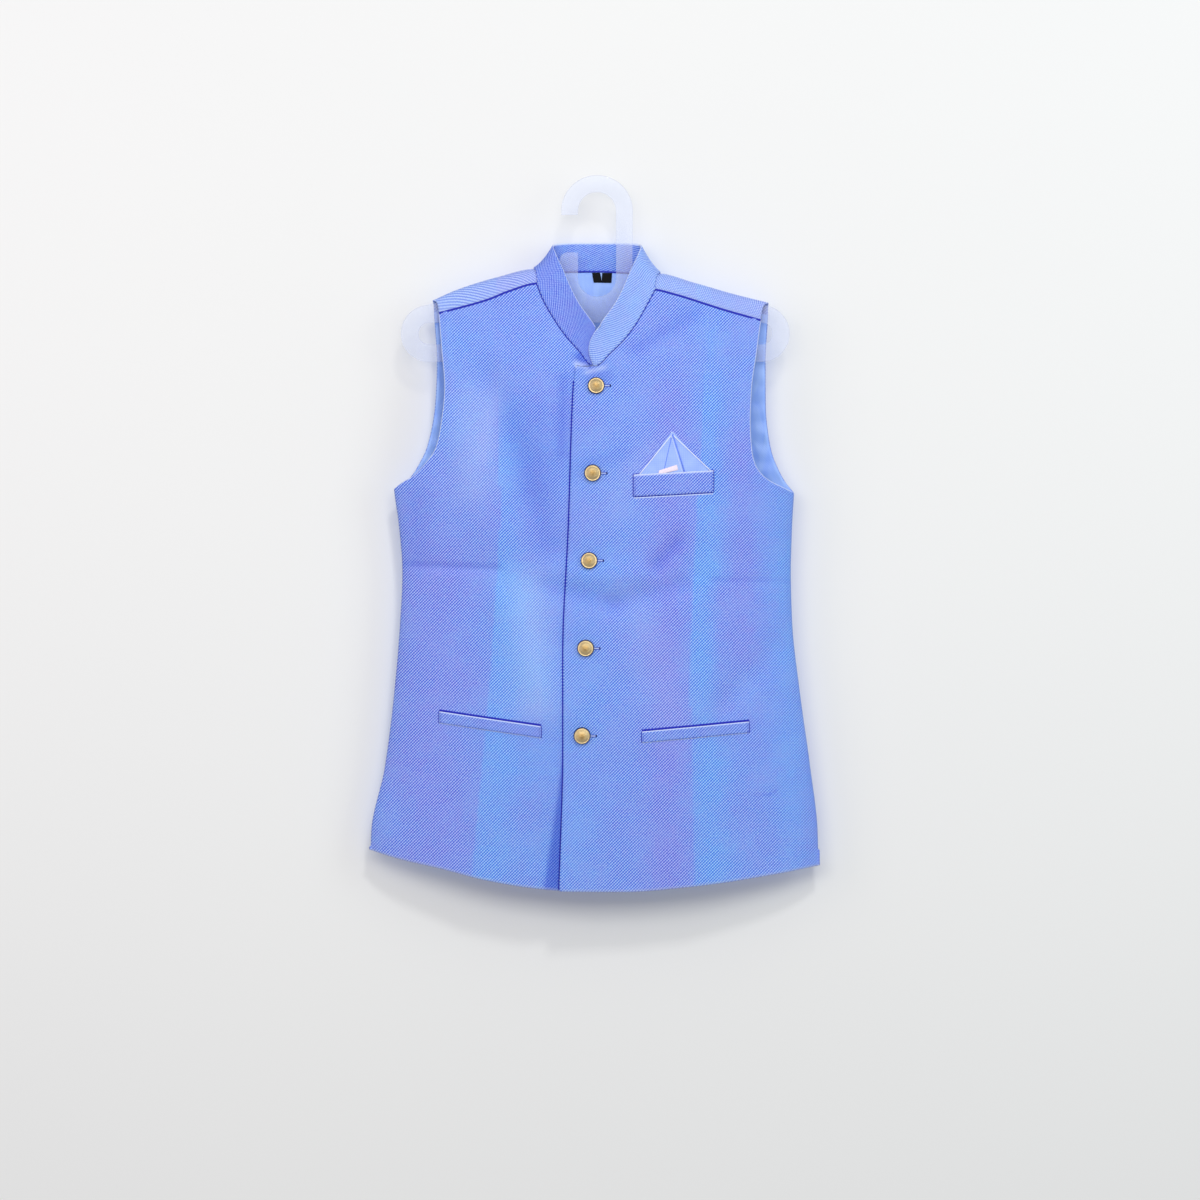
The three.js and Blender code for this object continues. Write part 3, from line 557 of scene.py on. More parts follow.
def satinMaterial(name, look):
    material, tree = newMaterial(name)
    uv = addNode(tree, "ShaderNodeUVMap", uv_map="cloth").outputs[0]
    stretched = addNode(tree, "ShaderNodeMapping", {
        "Vector": uv, "Scale": (1, look["stretch"], 1),
    }).outputs[0]
    ripple = addNode(tree, "ShaderNodeTexNoise", {
        "Vector": stretched, "Scale": noiseScale(look["wrinkle"]), "Detail": 3.0, "Distortion": 0.8,
    }).outputs["Fac"]
    weave = addNode(tree, "ShaderNodeTexWave", {
        "Vector": uv, "Scale": waveScale(look["threadPitch"]), "Distortion": 2.0,
    }, bands_direction="DIAGONAL").outputs["Fac"]
    # painted light: the wrinkles drawn pale on their ridges and deep in their hollows, from the noise that
    # bumps them
    colour = addNode(tree, "ShaderNodeMix", {
        0: ripple, 6: linear(look["deep"]), 7: linear(look["pale"]),
    }, data_type="RGBA").outputs[2]
    height = addNode(tree, "ShaderNodeMath", {
        0: weave, 1: 0.06, 2: ripple,
    }, operation="MULTIPLY_ADD").outputs[0]
    bump = addNode(tree, "ShaderNodeBump", {"Height": height, "Strength": 0.5, "Distance": 1.6 * mm})
    rough = addNode(tree, "ShaderNodeMath", {
        0: ripple, 1: 0.2, 2: look["roughness"] - 0.1,
    }, operation="MULTIPLY_ADD").outputs[0]
    shader = addNode(tree, "ShaderNodeBsdfPrincipled", {
        "Base Color": colour, "Roughness": rough, "Sheen Weight": 0.2, "Normal": bump.outputs[0],
    })
    return finishMaterial(material, shader)


# Antiqued brass, stamped and brushed: warm soft highlights, a fine grain, and a painted highlight that leaves
# the middle darker than the rim
brassLook = {"bright": "#ead09c", "dull": "#b08c46", "roughness": 0.42, "grain": 0.9, "cloud": 5}


def brassMaterial(name, look):
    material, tree = newMaterial(name)
    place = addNode(tree, "ShaderNodeTexCoord").outputs["Object"]
    grain = addNode(tree, "ShaderNodeTexNoise", {
        "Vector": place, "Scale": noiseScale(look["grain"]), "Detail": 3.0,
    }).outputs["Fac"]
    cloud = addNode(tree, "ShaderNodeTexNoise", {
        "Vector": place, "Scale": noiseScale(look["cloud"]), "Detail": 2.0,
    }).outputs["Fac"]
    wearAndRimHighlight = addNode(tree, "ShaderNodeAttribute", attribute_name="tone").outputs["Fac"]
    both = addNode(tree, "ShaderNodeMath", {
        0: cloud, 1: 0.6, 2: wearAndRimHighlight,
    }, operation="MULTIPLY_ADD", use_clamp=True).outputs[0]
    colour = addNode(tree, "ShaderNodeMix", {
        0: both, 6: linear(look["dull"]), 7: linear(look["bright"]),
    }, data_type="RGBA").outputs[2]
    bump = addNode(tree, "ShaderNodeBump", {"Height": grain, "Strength": 0.35, "Distance": 0.12 * mm})
    rough = addNode(tree, "ShaderNodeMath", {
        0: grain, 1: 0.25, 2: look["roughness"] - 0.1,
    }, operation="MULTIPLY_ADD").outputs[0]
    shader = addNode(tree, "ShaderNodeBsdfPrincipled", {
        "Base Color": colour, "Metallic": 1.0, "Roughness": rough, "Normal": bump.outputs[0],
    })
    return finishMaterial(material, shader)


# Frosted polypropylene, injection moulded with a fine matt skin: milky, and what is behind shows through it
frostedLook = {
    "milk": "#f0f2fb", "flow": "#e9ebf0", "tint": "#f8faff", "roughness": 0.42,
    "through": 0.1, "ior": 1.49, "clear": 0.81, "skin": 3, "flowSize": 60,
}


def frostedMaterial(name, look):
    material, tree = newMaterial(name)
    place = addNode(tree, "ShaderNodeTexCoord").outputs["Object"]
    skin = addNode(tree, "ShaderNodeTexNoise", {
        "Vector": place, "Scale": noiseScale(look["skin"]), "Detail": 2.0,
    }).outputs["Fac"]
    flow = addNode(tree, "ShaderNodeTexNoise", {
        "Vector": place, "Scale": noiseScale(look["flowSize"]), "Detail": 1.0,
    }).outputs["Fac"]
    colour = addNode(tree, "ShaderNodeMix", {
        0: flow, 6: linear(look["flow"]), 7: linear(look["milk"]),
    }, data_type="RGBA").outputs[2]
    bump = addNode(tree, "ShaderNodeBump", {"Height": skin, "Strength": 0.12, "Distance": 0.2 * mm})
    rough = addNode(tree, "ShaderNodeMath", {
        0: skin, 1: 0.15, 2: look["roughness"],
    }, operation="MULTIPLY_ADD").outputs[0]
    milky = addNode(tree, "ShaderNodeBsdfPrincipled", {
        "Base Color": colour, "Roughness": rough, "IOR": look["ior"],
        "Transmission Weight": look["through"], "Normal": bump.outputs[0],
    })
    straight = addNode(tree, "ShaderNodeBsdfTransparent", {"Color": linear(look["tint"])})
    shader = addNode(tree, "ShaderNodeMixShader", {
        0: look["clear"], 1: milky.outputs[0], 2: straight.outputs[0],
    })
    return finishMaterial(material, shader)


# Cotton lawn for the pocket square, plain woven and pressed: fine, smooth and a little paler than the twill.
# Real threads are about 0.3 mm apart, and they are drawn at the pitch below so that they show.
# its "hem" colour is a painted highlight, laid where the field "rim" pales the square's top edge
lawnLook = {
    "pale": "#a9c4fb", "deep": "#86a4f6", "hem": "#d6e2ff", "roughness": 0.6, "threadPitch": 2.4, "cloud": 14,
}


def lawnMaterial(name, look):
    material, tree = newMaterial(name)
    uv = addNode(tree, "ShaderNodeUVMap", uv_map="cloth").outputs[0]
    warp, weft = (
        addNode(tree, "ShaderNodeTexWave", {
            "Vector": uv, "Scale": waveScale(look["threadPitch"]), "Distortion": 1.0,
        }, bands_direction=way).outputs["Fac"]
        for way in ("X", "Y")
    )
    cloud = addNode(tree, "ShaderNodeTexNoise", {
        "Vector": uv, "Scale": noiseScale(look["cloud"]), "Detail": 2.0,
    }).outputs["Fac"]
    weave = addNode(tree, "ShaderNodeMath", {0: warp, 1: weft}, operation="MULTIPLY").outputs[0]
    tint = addNode(tree, "ShaderNodeMath", {
        0: weave, 1: 0.35, 2: cloud,
    }, operation="MULTIPLY_ADD", use_clamp=True).outputs[0]
    flat = addNode(tree, "ShaderNodeMix", {
        0: tint, 6: linear(look["deep"]), 7: linear(look["pale"]),
    }, data_type="RGBA").outputs[2]
    rim = addNode(tree, "ShaderNodeAttribute", attribute_name="rim").outputs["Fac"]
    # painted highlight: the field "rim" pales the square along its top edge
    colour = addNode(tree, "ShaderNodeMix", {
        0: rim, 6: flat, 7: linear(look["hem"]),
    }, data_type="RGBA").outputs[2]
    bump = addNode(tree, "ShaderNodeBump", {"Height": weave, "Strength": 0.15, "Distance": 0.2 * mm})
    shader = addNode(tree, "ShaderNodeBsdfPrincipled", {
        "Base Color": colour, "Roughness": look["roughness"], "Sheen Weight": 0.15, "Normal": bump.outputs[0],
    })
    return finishMaterial(material, shader)


# Threads, ribbon, card and cloth seen edge on: fine ribs over a cloudy tint
def plainWoven(name, low, high, pitch, roughness, sheen=0.1, gloss=0.3):
    material, tree = newMaterial(name)
    place = addNode(tree, "ShaderNodeTexCoord").outputs["Object"]
    ribs = addNode(tree, "ShaderNodeTexWave", {
        "Vector": place, "Scale": waveScale(pitch), "Distortion": 1.0,
    }, bands_direction="DIAGONAL").outputs["Fac"]
    cloud = addNode(tree, "ShaderNodeTexNoise", {
        "Vector": place, "Scale": noiseScale(5), "Detail": 2.0,
    }).outputs["Fac"]
    half = addNode(tree, "ShaderNodeMath", {0: cloud, 1: 0.5, 2: 0.0}, operation="MULTIPLY_ADD").outputs[0]
    tint = addNode(tree, "ShaderNodeMath", {0: ribs, 1: 0.5, 2: half}, operation="MULTIPLY_ADD").outputs[0]
    colour = addNode(tree, "ShaderNodeMix", {
        0: tint, 6: linear(low), 7: linear(high),
    }, data_type="RGBA").outputs[2]
    bump = addNode(tree, "ShaderNodeBump", {"Height": ribs, "Strength": 0.3, "Distance": 0.1 * mm})
    shader = addNode(tree, "ShaderNodeBsdfPrincipled", {
        "Base Color": colour, "Roughness": roughness, "Sheen Weight": sheen, "Specular IOR Level": gloss,
        "Normal": bump.outputs[0],
    })
    return finishMaterial(material, shader)


twill = twillMaterial("pressedTwill", twillLook)
collarTwill = twillMaterial("collarTwill", collarLook)
satin = satinMaterial("liningSatin", satinLook)
brass = brassMaterial("antiquedBrass", brassLook)
frosted = frostedMaterial("frostedPolypropylene", frostedLook)
lawn = lawnMaterial("pocketSquareLawn", lawnLook)
# black taffeta ribbon, slightly glossy
ribbon = plainWoven("wovenBlackRibbon", "#040406", "#121217", 0.8, 0.6, 0.02, 0.1)
# smooth coated card, a little pink
card = plainWoven("coatedCard", "#e8d4ea", "#fbf0f8", 1.2, 0.5, 0)
# twisted polyester thread, dyed to match
thread = plainWoven("spunThread", "#2f3fb8", "#5a6ede", 0.5, 0.55, 0.15)
# twill turned deep into a seam, in its shade
seamShade = plainWoven("seamTurn", "#1c22a2", "#323cc0", 1.0, 0.85, 0)
# matt dark blue thread wound under the buttons, wider than them so that it shows as their painted contact
# shadow; also the dark bars at the buttonholes' ends
navyAndShadow = plainWoven("navyThreadAndShadow", "#0b0d2a", "#1c2152", 0.8, 0.7, 0)
# pressed cloth on the shaded side of a fold
foldShade = plainWoven("pressedFold", "#5a7cf0", "#7391f6", 1.0, 0.8, 0)
# painted highlight: the square's rolled hem, drawn pale where it turns to the light
squareHemHighlight = plainWoven("squareHemHighlight", "#cfdcff", "#e9efff", 0.9, 0.7, 0.1)
# pale turned cloth that catches the light
paleTurnHighlight = plainWoven("paleTurn", "#b4c8fc", "#cbdaff", 0.9, 0.7, 0.1)
print("materials made")


# Painted sheen: where the cloth is drawn bluer (+) or more lilac (-), as the shot cloth turns to or from the
# light along its folds, and where it is deeper in shade
frontTone = columnsOf("x0 z0 x1 z1 width amount", [
    (-96, -250, -104, -460, 16, 0.22),
    (-100, -460, -120, -790, 26, 0.36),
    (-60, -560, -56, -790, 30, 0.18),
    (-180, -380, -190, -760, 50, -0.28),
    (84, -240, 78, -780, 24, -0.32),
    (130, -170, 126, -430, 18, 0.28),
    (122, -440, 132, -780, 24, 0.42),
    (163, -290, 168, -530, 18, -0.28),
    (214, -360, 224, -760, 22, 0.34),
    (-10, -440, -20, -760, 26, 0.18),
    (-78, -470, -72, -570, 26, 0.25),
    (140, -460, 142, -590, 16, -0.35),
    (-150, -180, -150, -320, 40, 0.10),
    (10, -230, 30, -420, 26, 0.08),
])
frontShade = columnsOf("x0 z0 x1 z1 width amount", [
    (-115, -215, -56, -400, 16, 0.20),
    (-55, -452, 20, -472, 11, 0.14),
    (20, -472, 95, -450, 11, 0.14),
    (92, -402, 70, -427, 8, 0.30),
    (112, -140, 44, -180, 9, 0.22),
    (-222, -425, -113, -429, 3.5, 0.25),
    (130, -443, 222, -445, 3, 0.18),
    (-20, -190, -10, -199, 6, 0.7),
    (-207, -352, -206, -424, 14, 0.15),
    (177, -692, 195, -690, 0.9, 0.55),
    (195, -690, 207, -683, 0.9, 0.55),
    (-2, -212, 6, -212, 12, 0.35),
    (-70, -260, -62, -330, 26, 0.18),
    (-38, -215, -40, -300, 7, 0.3),
    (30, -300, -10, -312, 9, 0.15),
])
frontLight = columnsOf("x0 z0 x1 z1 width amount", [  # where it catches the light
    (-142, -245, -140, -335, 26, 0.13),
    (-78, -460, -70, -580, 26, 0.16),
    (-24, -198, -12, -201, 3, 0.5),
    (-12, -208, 8, -202.5, 3, 0.35),
    (44, -470, 80, -600, 26, 0.06),
    (-110, -210, -128, -300, 12, 0.08),
    (60, -300, 20, -360, 22, 0.05),
])
fronts = {
    "foldColumns": 44, "edgeColumns": 46, "bodyRows": 150, "upperRows": 84, "columnPower": 1.25,
    "armholeRidge": 0.5, "ridgeAt": 7, "ridgeWidth": 3,  # the seam allowance, felt through the cloth
    "tone": 0.42, "toneWaver": 0.1, "toneSize": 90,
    "toneAtFold": 0.2, "toneReach": 16, "foldToneFrom": -150, "foldToneFull": -330,
    "armholeGlow": 0.75, "hemGlow": 0.3, "neckGlow": 0.6, "neckGlowFrom": 0.64,
}
# the over front's shadow on the under front, wider where the edge springs out
edgeShadow = {
    "from": -633, "run": 165, "widest": 19, "softness": 2.5, "amount": 0.6, "fadeFrom": -625, "fadeTo": -665,
}


def frontNet(side, depth):
    columns = np.concatenate([
        np.linspace(0, 1, fronts["foldColumns"]) ** fronts["columnPower"],
        1 + np.linspace(0, 1, fronts["edgeColumns"])[1:],
    ])
    heights = np.concatenate([
        np.linspace(0, 1, fronts["bodyRows"]), 1 + np.linspace(0, 1, fronts["upperRows"])[1:],
    ])
    corner = np.argmin(np.abs(heights - 1 - cornerStation))
    heights[corner] = 1 + cornerStation
    collar = np.argmin(np.abs(heights - 1 - collarStation))
    heights[collar] = 1 + collarStation
    c, h = np.meshgrid(columns, heights)
    x, z = frontPlace(side, c, h)
    y = depth(x, z)
    fromSide = np.abs(x - x[:, :1])
    fromRidge = (fromSide - fronts["ridgeAt"]) / fronts["ridgeWidth"]
    y -= fronts["armholeRidge"] * np.exp(-fromRidge ** 2) * (h > 1)
    apart = body["seamHalfGap"] + vent["front"] * smooth(vent["top"], vent["foot"], z)
    y = np.where((c == 0) & (h <= 1), y - apart, y)
    z = np.where(h == 2, z - body["seamHalfGap"], z)
    return np.stack([x, y, z], -1), heights, collar


def underShade(x, z):
    s = edgeShadow
    across = s["widest"] * np.clip((s["from"] - z) / s["run"], 0, 1)
    away = read(frontEdges["over"], "z", z, "x") - x
    near = smooth(across + s["softness"], across - s["softness"], away)
    return s["amount"] * near * smooth(s["fadeFrom"], s["fadeTo"], z)


def frontFields(net, side):
    x, z = net[..., 0], net[..., 2]
    away = x - read(foldLines[side], "z", z, "x")
    fade = smooth(fronts["foldToneFrom"], fronts["foldToneFull"], z)
    tone = fronts["tone"] + strokes(frontTone, x, z)
    tone = tone + fronts["toneWaver"] * waver(x, z, 11, fronts["toneSize"])
    # painted sheen: one side of each fold drawn bluer, the other more lilac
    tone = tone + fronts["toneAtFold"] * fade * np.sign(away) * np.exp(-np.abs(away) / fronts["toneReach"])
    shade = strokes(frontShade, x, z)
    if side == "under":
        shade = shade + underShade(x, z)
    return {
        "tone": np.clip(tone, 0, 1).ravel(),
        "shade": np.clip(shade, 0, 1).ravel(),
        "light": strokes(frontLight, x, z).ravel(),
    }


def makeFront(name, side, depth):
    net, heights, collarRow = frontNet(side, depth)
    rows, width = net.shape[:2]
    sideRows = np.flatnonzero(heights <= 1) * width
    topRow = np.arange((rows - 1) * width, rows * width)

    def hold(normals):
        normals[sideRows] = np.sign(normals[sideRows, :1]) * np.array([1.0, 0, 0])
        normals[topRow, 2] = 0

    # painted highlight along the armhole, the hem and the over front's neck edge
    glow = np.zeros((rows, width))
    glow[:, 0] = np.where(heights > 1, fronts["armholeGlow"], 0)
    glow[0, :] = fronts["hemGlow"]
    onNeck = smooth(fronts["neckGlowFrom"], cornerStation, heights - 1)
    glow[:, -1] = fronts["neckGlow"] * (side == "over") * onNeck
    quads = netQuads(rows, width, side == "over")
    piece = makeWall(
        name, net.reshape(-1, 3), quads, body["cloth"], [twill, satin],
        flatUvs(net), frontFields(net, side), hold=hold, rimGlow=glow.ravel(),
    )
    return addPiece(piece, [name]), net, collarRow


frontLeft, overNet, overCollarRow = makeFront("front_left", "over", overY)
frontRight, underNet, underCollarRow = makeFront("front_right", "under", underY)
print("fronts made")


back = {
    "bodyRows": 120, "upperRows": 60, "neckColumns": 34,
    "yokeTurns": [60, 45, 30, 15, 0, -15, -30, -45, -60, -75, -90],
    "waver": 0.25, "waverSize": 60,
    "tone": 0.45, "toneWaver": 0.1, "toneSize": 150, "streak": 0.16, "streakReach": 46,
    "foldX": 114, "toneAtFold": 0.14, "toneReach": 18,
    "shade": 0.15, "shadeSize": 90, "yokeLight": 0.22, "rimGlow": 0.1,
    "slack": 0.8, "wrinkle": 0.7, "wrinkleSize": 30,  # how loose the lining hangs
}
yokeColumns = np.concatenate([np.linspace(0, 1, 26), 1 + np.linspace(0, 1, 26)[1:]])
backFolds = columnsOf("x0 z0 x1 z1 width amount", [
    (-118, -150, -112, -770, 9, 0.9),
    (114, -150, 112, -770, 9, 0.9),
    (0, -110, 0, -780, 4, -0.9),
    (-210, -430, -40, -436, 5, -1.0),
    (40, -440, 215, -444, 5, -0.8),
    (-60, -480, 30, -500, 14, -1.4),
    (20, -500, 110, -470, 14, -1.2),
    (-150, -200, -80, -380, 18, -1.4),
    (150, -200, 90, -370, 18, -1.2),
    (-90, -560, -60, -740, 18, 1.2),
    (80, -560, 100, -740, 18, 1.0),
    (-40, -130, 40, -134, 10, -0.8),
])


def backSurface(x, z):
    rounded = crown(x, z, body["backCrown"])
    relief = strokes(backFolds, x, z) + back["waver"] * waver(x, z, 21, back["waverSize"])
    return backY(x, z) + relief * np.minimum(1, 2 * rounded)


def shoulderFractions(side):
    top = frontPlace(side, yokeColumns, np.full_like(yokeColumns, 2))[0]
    return (top - top[0]) / (top[-1] - top[0])


def backTop(x):
    neck = read(body["backNeck"], "x", x, "z")
    shoulder = read(body["crest"], "x", x, "z") - body["yokeFall"]
    half = body["neckHalfWidth"]
    return mix(neck, shoulder, smooth(half, half + 60, np.abs(x)))


def backColumns():
    left = float(outerEdge("backLeft", np.array(2.0))[0])
    right = float(outerEdge("backRight", np.array(2.0))[0])
    half = body["neckHalfWidth"]
    tops = np.concatenate([
        mix(left, -half, shoulderFractions("under")),
        np.linspace(-half, half, back["neckColumns"] + 1)[1:-1],
        mix(right, half, shoulderFractions("over"))[::-1],
    ])
    return (tops - left) / (right - left)


def backPlace(across, height):
    leftX, leftZ = outerEdge("backLeft", height)
    rightX, rightZ = outerEdge("backRight", height)
    x = mix(leftX, rightX, across)
    rise = body["backHemRise"] * np.sin(math.pi * across)
    hemZ = mix(outerEdge("backLeft", 0 * height)[1], outerEdge("backRight", 0 * height)[1], across)
    topZ = mix(outerEdge("backLeft", 0 * height + 2)[1], outerEdge("backRight", 0 * height + 2)[1], across)
    atHem = (read(body["hem"], "x", x, "z") + rise - hemZ) * np.maximum(0, 1 - height) ** 2
    atTop = (backTop(x) - topZ) * np.maximum(0, height - 1) ** 2
    return x, mix(leftZ, rightZ, across) + atHem + atTop


def yokeRow(side, fractions, degrees):
    sign = -1 if side == "under" else 1
    turn = math.radians(degrees)
    backX = float(outerEdge("backLeft" if sign < 0 else "backRight", np.array(2.0))[0])
    tipCrest = body["crest"]["x"][0 if sign < 0 else -1]
    seamX = float(frontPlace(side, np.array(0.0), np.array(2.0))[0])
    neckSeam = float(frontPlace(side, np.array(2.0), np.array(2.0))[0])
    over = abs(math.sin(turn))
    half = body["neckHalfWidth"]
    tip = mix(tipCrest, backX if degrees > 0 else seamX, over)
    neck = mix(sign * (half + 1), sign * half if degrees > 0 else neckSeam, over)
    x = mix(tip, neck, fractions)
    crest = read(body["crest"], "x", x, "z")
    foot = backTop(x) if degrees > 0 else read(body["seam"], "x", x, "z")
    footY = backSurface(x, foot) if degrees > 0 else frontY(x, foot)
    z = mix(crest, foot, 1 - math.cos(turn)) + (body["seamHalfGap"] if degrees == -90 else 0)
    return np.stack([x, footY * over, z], -1)


def makeBack():
    across = backColumns()
    heights = np.concatenate([
        np.linspace(0, 1, back["bodyRows"]), 1 + np.linspace(0, 1, back["upperRows"])[1:],
    ])
    a, h = np.meshgrid(across, heights)
    x, z = backPlace(a, h)
    apart = body["seamHalfGap"] + vent["back"] * smooth(vent["top"], vent["foot"], z)
    onSide = ((a == across[0]) | (a == across[-1])) & (h <= 1)
    net = np.stack([x, backSurface(x, z) + np.where(onSide, apart, 0), z], -1)
    rows, width = net.shape[:2]
    quads = [netQuads(rows, width, True)]
    points = [net.reshape(-1, 3)]
    uvs = [flatUvs(net)]
    count = rows * width
    topRow = (rows - 1) * width
    necks, seamPoints = {}, []
    for side in ("under", "over"):
        fractions = shoulderFractions(side)
        order = fractions if side == "under" else fractions[::-1]
        start = topRow if side == "under" else topRow + width - len(order)
        below = start + np.arange(len(order))
        neckColumn = len(order) - 1 if side == "under" else 0
        necks[side] = [points[0][below[neckColumn]]]
        lastRow, lastUv = points[0][below], uvs[0][below]
        for degrees in back["yokeTurns"]:
            row = yokeRow(side, order, degrees)
            ids = count + np.arange(len(order))
            count += len(order)
            quads.append(np.stack([ids[:-1], ids[1:], below[1:], below[:-1]], 1))
            lastUv = lastUv + np.stack([row[:, 0] * 0, np.linalg.norm((row - lastRow)[:, 1:], axis=1)], 1)
            points.append(row)
            uvs.append(lastUv)
            necks[side].insert(0, row[neckColumn])
            below, lastRow = ids, row
        seamPoints.append(below)
    sideRows = np.flatnonzero(heights <= 1)
    sidePoints = np.concatenate([sideRows * width, sideRows * width + width - 1])
    seamPoints = np.concatenate(seamPoints)

    def holdSides(normals):
        normals[sidePoints] = np.sign(normals[sidePoints, :1]) * np.array([1.0, 0, 0])

    def hold(normals):
        holdSides(normals)
        normals[seamPoints, 2] = 0

    points, quads, uvs = np.concatenate(points), np.concatenate(quads), np.concatenate(uvs)
    px, pz = points[:, 0], points[:, 2]
    away = np.abs(px) - back["foldX"]
    tone = back["tone"] + back["toneWaver"] * waver(px, pz, 31, back["toneSize"])
    tone = tone + back["streak"] * np.sin(px / back["streakReach"])
    # painted sheen: one side of each fold drawn bluer, the other more lilac
    tone = tone + back["toneAtFold"] * np.sign(away) * np.exp(-np.abs(away) / back["toneReach"])
    shade = back["shade"] * np.clip(waver(px, pz, 33, back["shadeSize"]), 0, 1)
    light = np.where(np.arange(len(px)) >= rows * width, back["yokeLight"], 0)
    piece = makeWall(
        "back", points, quads, body["cloth"], [twill], uvs,
        {"tone": np.clip(tone, 0, 1), "shade": shade, "light": light}, hold=hold, rimGlow=back["rimGlow"],
    )
    addPiece(piece, ["back"])
    liningNet = net.copy()
    lx, lz = net[..., 0], net[..., 2]
    loose = waver(lx * 0.9 + lz * 0.5, lz * 1.5, 41, back["wrinkleSize"])
    liningNet[..., 1] -= back["slack"] + back["wrinkle"] * np.clip(loose, -1, 1)
    liningPoints = liningNet.reshape(-1, 3)[width:]
    liningQuads = netQuads(rows - 1, width, True)

    def holdLining(normals):
        for row in sideRows[1:] - 1:
            normals[[row * width, row * width + width - 1]] *= np.array([1.0, 0, 0])

    blank = np.zeros(len(liningPoints))
    lining = makeWall(
        "back_lining", liningPoints, liningQuads, body["lining"], [satin], flatUvs(liningNet)[width:],
        {"tone": blank, "shade": blank}, inset=body["cloth"] + body["gap"], hold=holdLining,
    )
    addPiece(lining, ["back_lining"])
    shoulder = len(yokeColumns)
    neckLine = points[topRow + shoulder:topRow + width - shoulder]
    return piece, lining, necks, neckLine


backPiece, liningPiece, necks, neckLine = makeBack()
print("back and lining made")


collar = {
    "top": columnsOf("along x y z", [
        (0, 2, -30, -156), (0.13, 8.5, -28, -146.5), (0.27, 20, -24.5, -130.5), (0.4, 30.2, -19, -111),
        (0.5, 38.8, -13, -90.5), (0.58, 46, -6.5, -75), (0.65, 50, 1, -63.5), (0.72, 48.5, 8, -60),
        (0.8, 39, 13.5, -58), (0.9, 20, 17, -57), (1, 0, 18, -57),
    ]),
    "endBulge": 8,
    "endReach": 0.1,
    "rows": 16,
    "bow": 1.0,  # how far the band rounds out between its seam and its top edge
    "tone": 0.46, "sideTone": 0.16, "toneWaver": 0.1, "toneSize": 30,
    "shade": 0.3, "light": 0.16,  # its right side lies in shade and its left side catches the light
    "topGlow": 1, "endGlow": 0.7,
}


def makeCollar():
    base = np.concatenate([
        overNet[overCollarRow:, -1],
        np.array(necks["over"])[1:],
        neckLine[::-1],
        np.array(necks["under"])[::-1][:-1],
        underNet[underCollarRow:, -1][::-1],
    ])
    lengths = np.concatenate([[0], np.cumsum(np.linalg.norm(np.diff(base, axis=0), axis=1))])
    middle = lengths[-1] / 2
    isOver = lengths < middle
    along = np.where(isOver, lengths / middle, 2 - lengths / middle)
    under = np.where(isOver, 0, body["layerStep"] * smooth(0.5, 0, along))
    top = np.stack([
        read(collar["top"], "along", along, "x") * np.where(isOver, 1, -1),
        read(collar["top"], "along", along, "y") + under,
        read(collar["top"], "along", along, "z"),
    ], -1)
    rise = top - base
    tall = np.linalg.norm(rise, axis=1)
    foot = base + rise / tall[:, None] * 2 * body["gap"]
    rows, uvs = [], []
    for step in range(collar["rows"] + 1):
        up = step / collar["rows"]
        row = foot + (top - foot) * up
        bulge = collar["endBulge"] * math.sin(math.pi * up) * smooth(collar["endReach"], 0, along)
        row[:, 0] -= np.where(isOver, bulge, 0)
        rows.append(row)
        uvs.append(np.stack([lengths, tall * up], -1))
    points, uvs = np.concatenate(rows), np.concatenate(uvs)
    quads = netQuads(collar["rows"] + 1, len(base), True)
    swell = np.repeat(np.sin(np.pi * np.arange(collar["rows"] + 1) / collar["rows"]), len(base))
    points = points + unit(normalsOf(points, quads)) * (collar["bow"] * swell)[:, None]
    px, pz = points[:, 0], points[:, 2]
    # painted light: the over side of the band drawn bluer and lighter, the under side more lilac and in shade
    side = np.tile(np.where(isOver, 1, -1) * smooth(0.85, 0.6, along), collar["rows"] + 1)
    tone = collar["tone"] + collar["sideTone"] * side
    tone = tone + collar["toneWaver"] * waver(px, pz, 51, collar["toneSize"])
    shade = collar["shade"] * np.clip(-side, 0, 1) * (0.6 + 0.4 * smooth(-40, 0, px))
    fields = {
        "tone": np.clip(tone, 0, 1),
        "shade": np.clip(shade, 0, 1),
        "light": collar["light"] * np.clip(side, 0, 1),
    }
    # painted highlight along the band's top edge and its over end
    glow = np.zeros((collar["rows"] + 1, len(base)))
    glow[-1] = collar["topGlow"]
    glow[:, 0] = collar["endGlow"]
    piece = makeWall("collar", points, quads, body["cloth"], [collarTwill], uvs, fields, rimGlow=glow.ravel())
    return addPiece(piece, ["collar"])


collarPiece = makeCollar()
print("collar made")


topGlow = 0.8  # painted highlight: how pale a laid piece's top edge is drawn


# corners run bottom left, bottom right, top right, top left; puff rounds the piece out in its middle
def layOn(name, depth, corners, steps, thick, lift, materials, puff=0.0, tone=0.5):
    across, up = np.meshgrid(np.linspace(0, 1, steps[0]), np.linspace(0, 1, steps[1]))
    (ax, az), (bx, bz), (cx, cz), (dx, dz) = corners
    x = mix(mix(ax, bx, across), mix(dx, cx, across), up)
    z = mix(mix(az, bz, across), mix(dz, cz, across), up)
    raised = lift(across, up) if callable(lift) else lift
    bulge = puff * (1 - (2 * across - 1) ** 6) * (1 - (2 * up - 1) ** 4)
    y = depth(x, z) - raised - thick - bulge
    net = np.stack([x, y, z], -1)

    def hold(normals):
        normals[:] = (0, -1, 0)

    fields = {"tone": np.full(x.size, tone), "shade": np.zeros(x.size)}
    return makeWall(
        name, net.reshape(-1, 3), netQuads(*x.shape), thick, materials, flatUvs(net), fields, hold=hold,
        rimGlow=(topGlow * (up > 0.99)).ravel(),
    )


stripStep = 3  # along a strip, between one crosswise row of points and the next


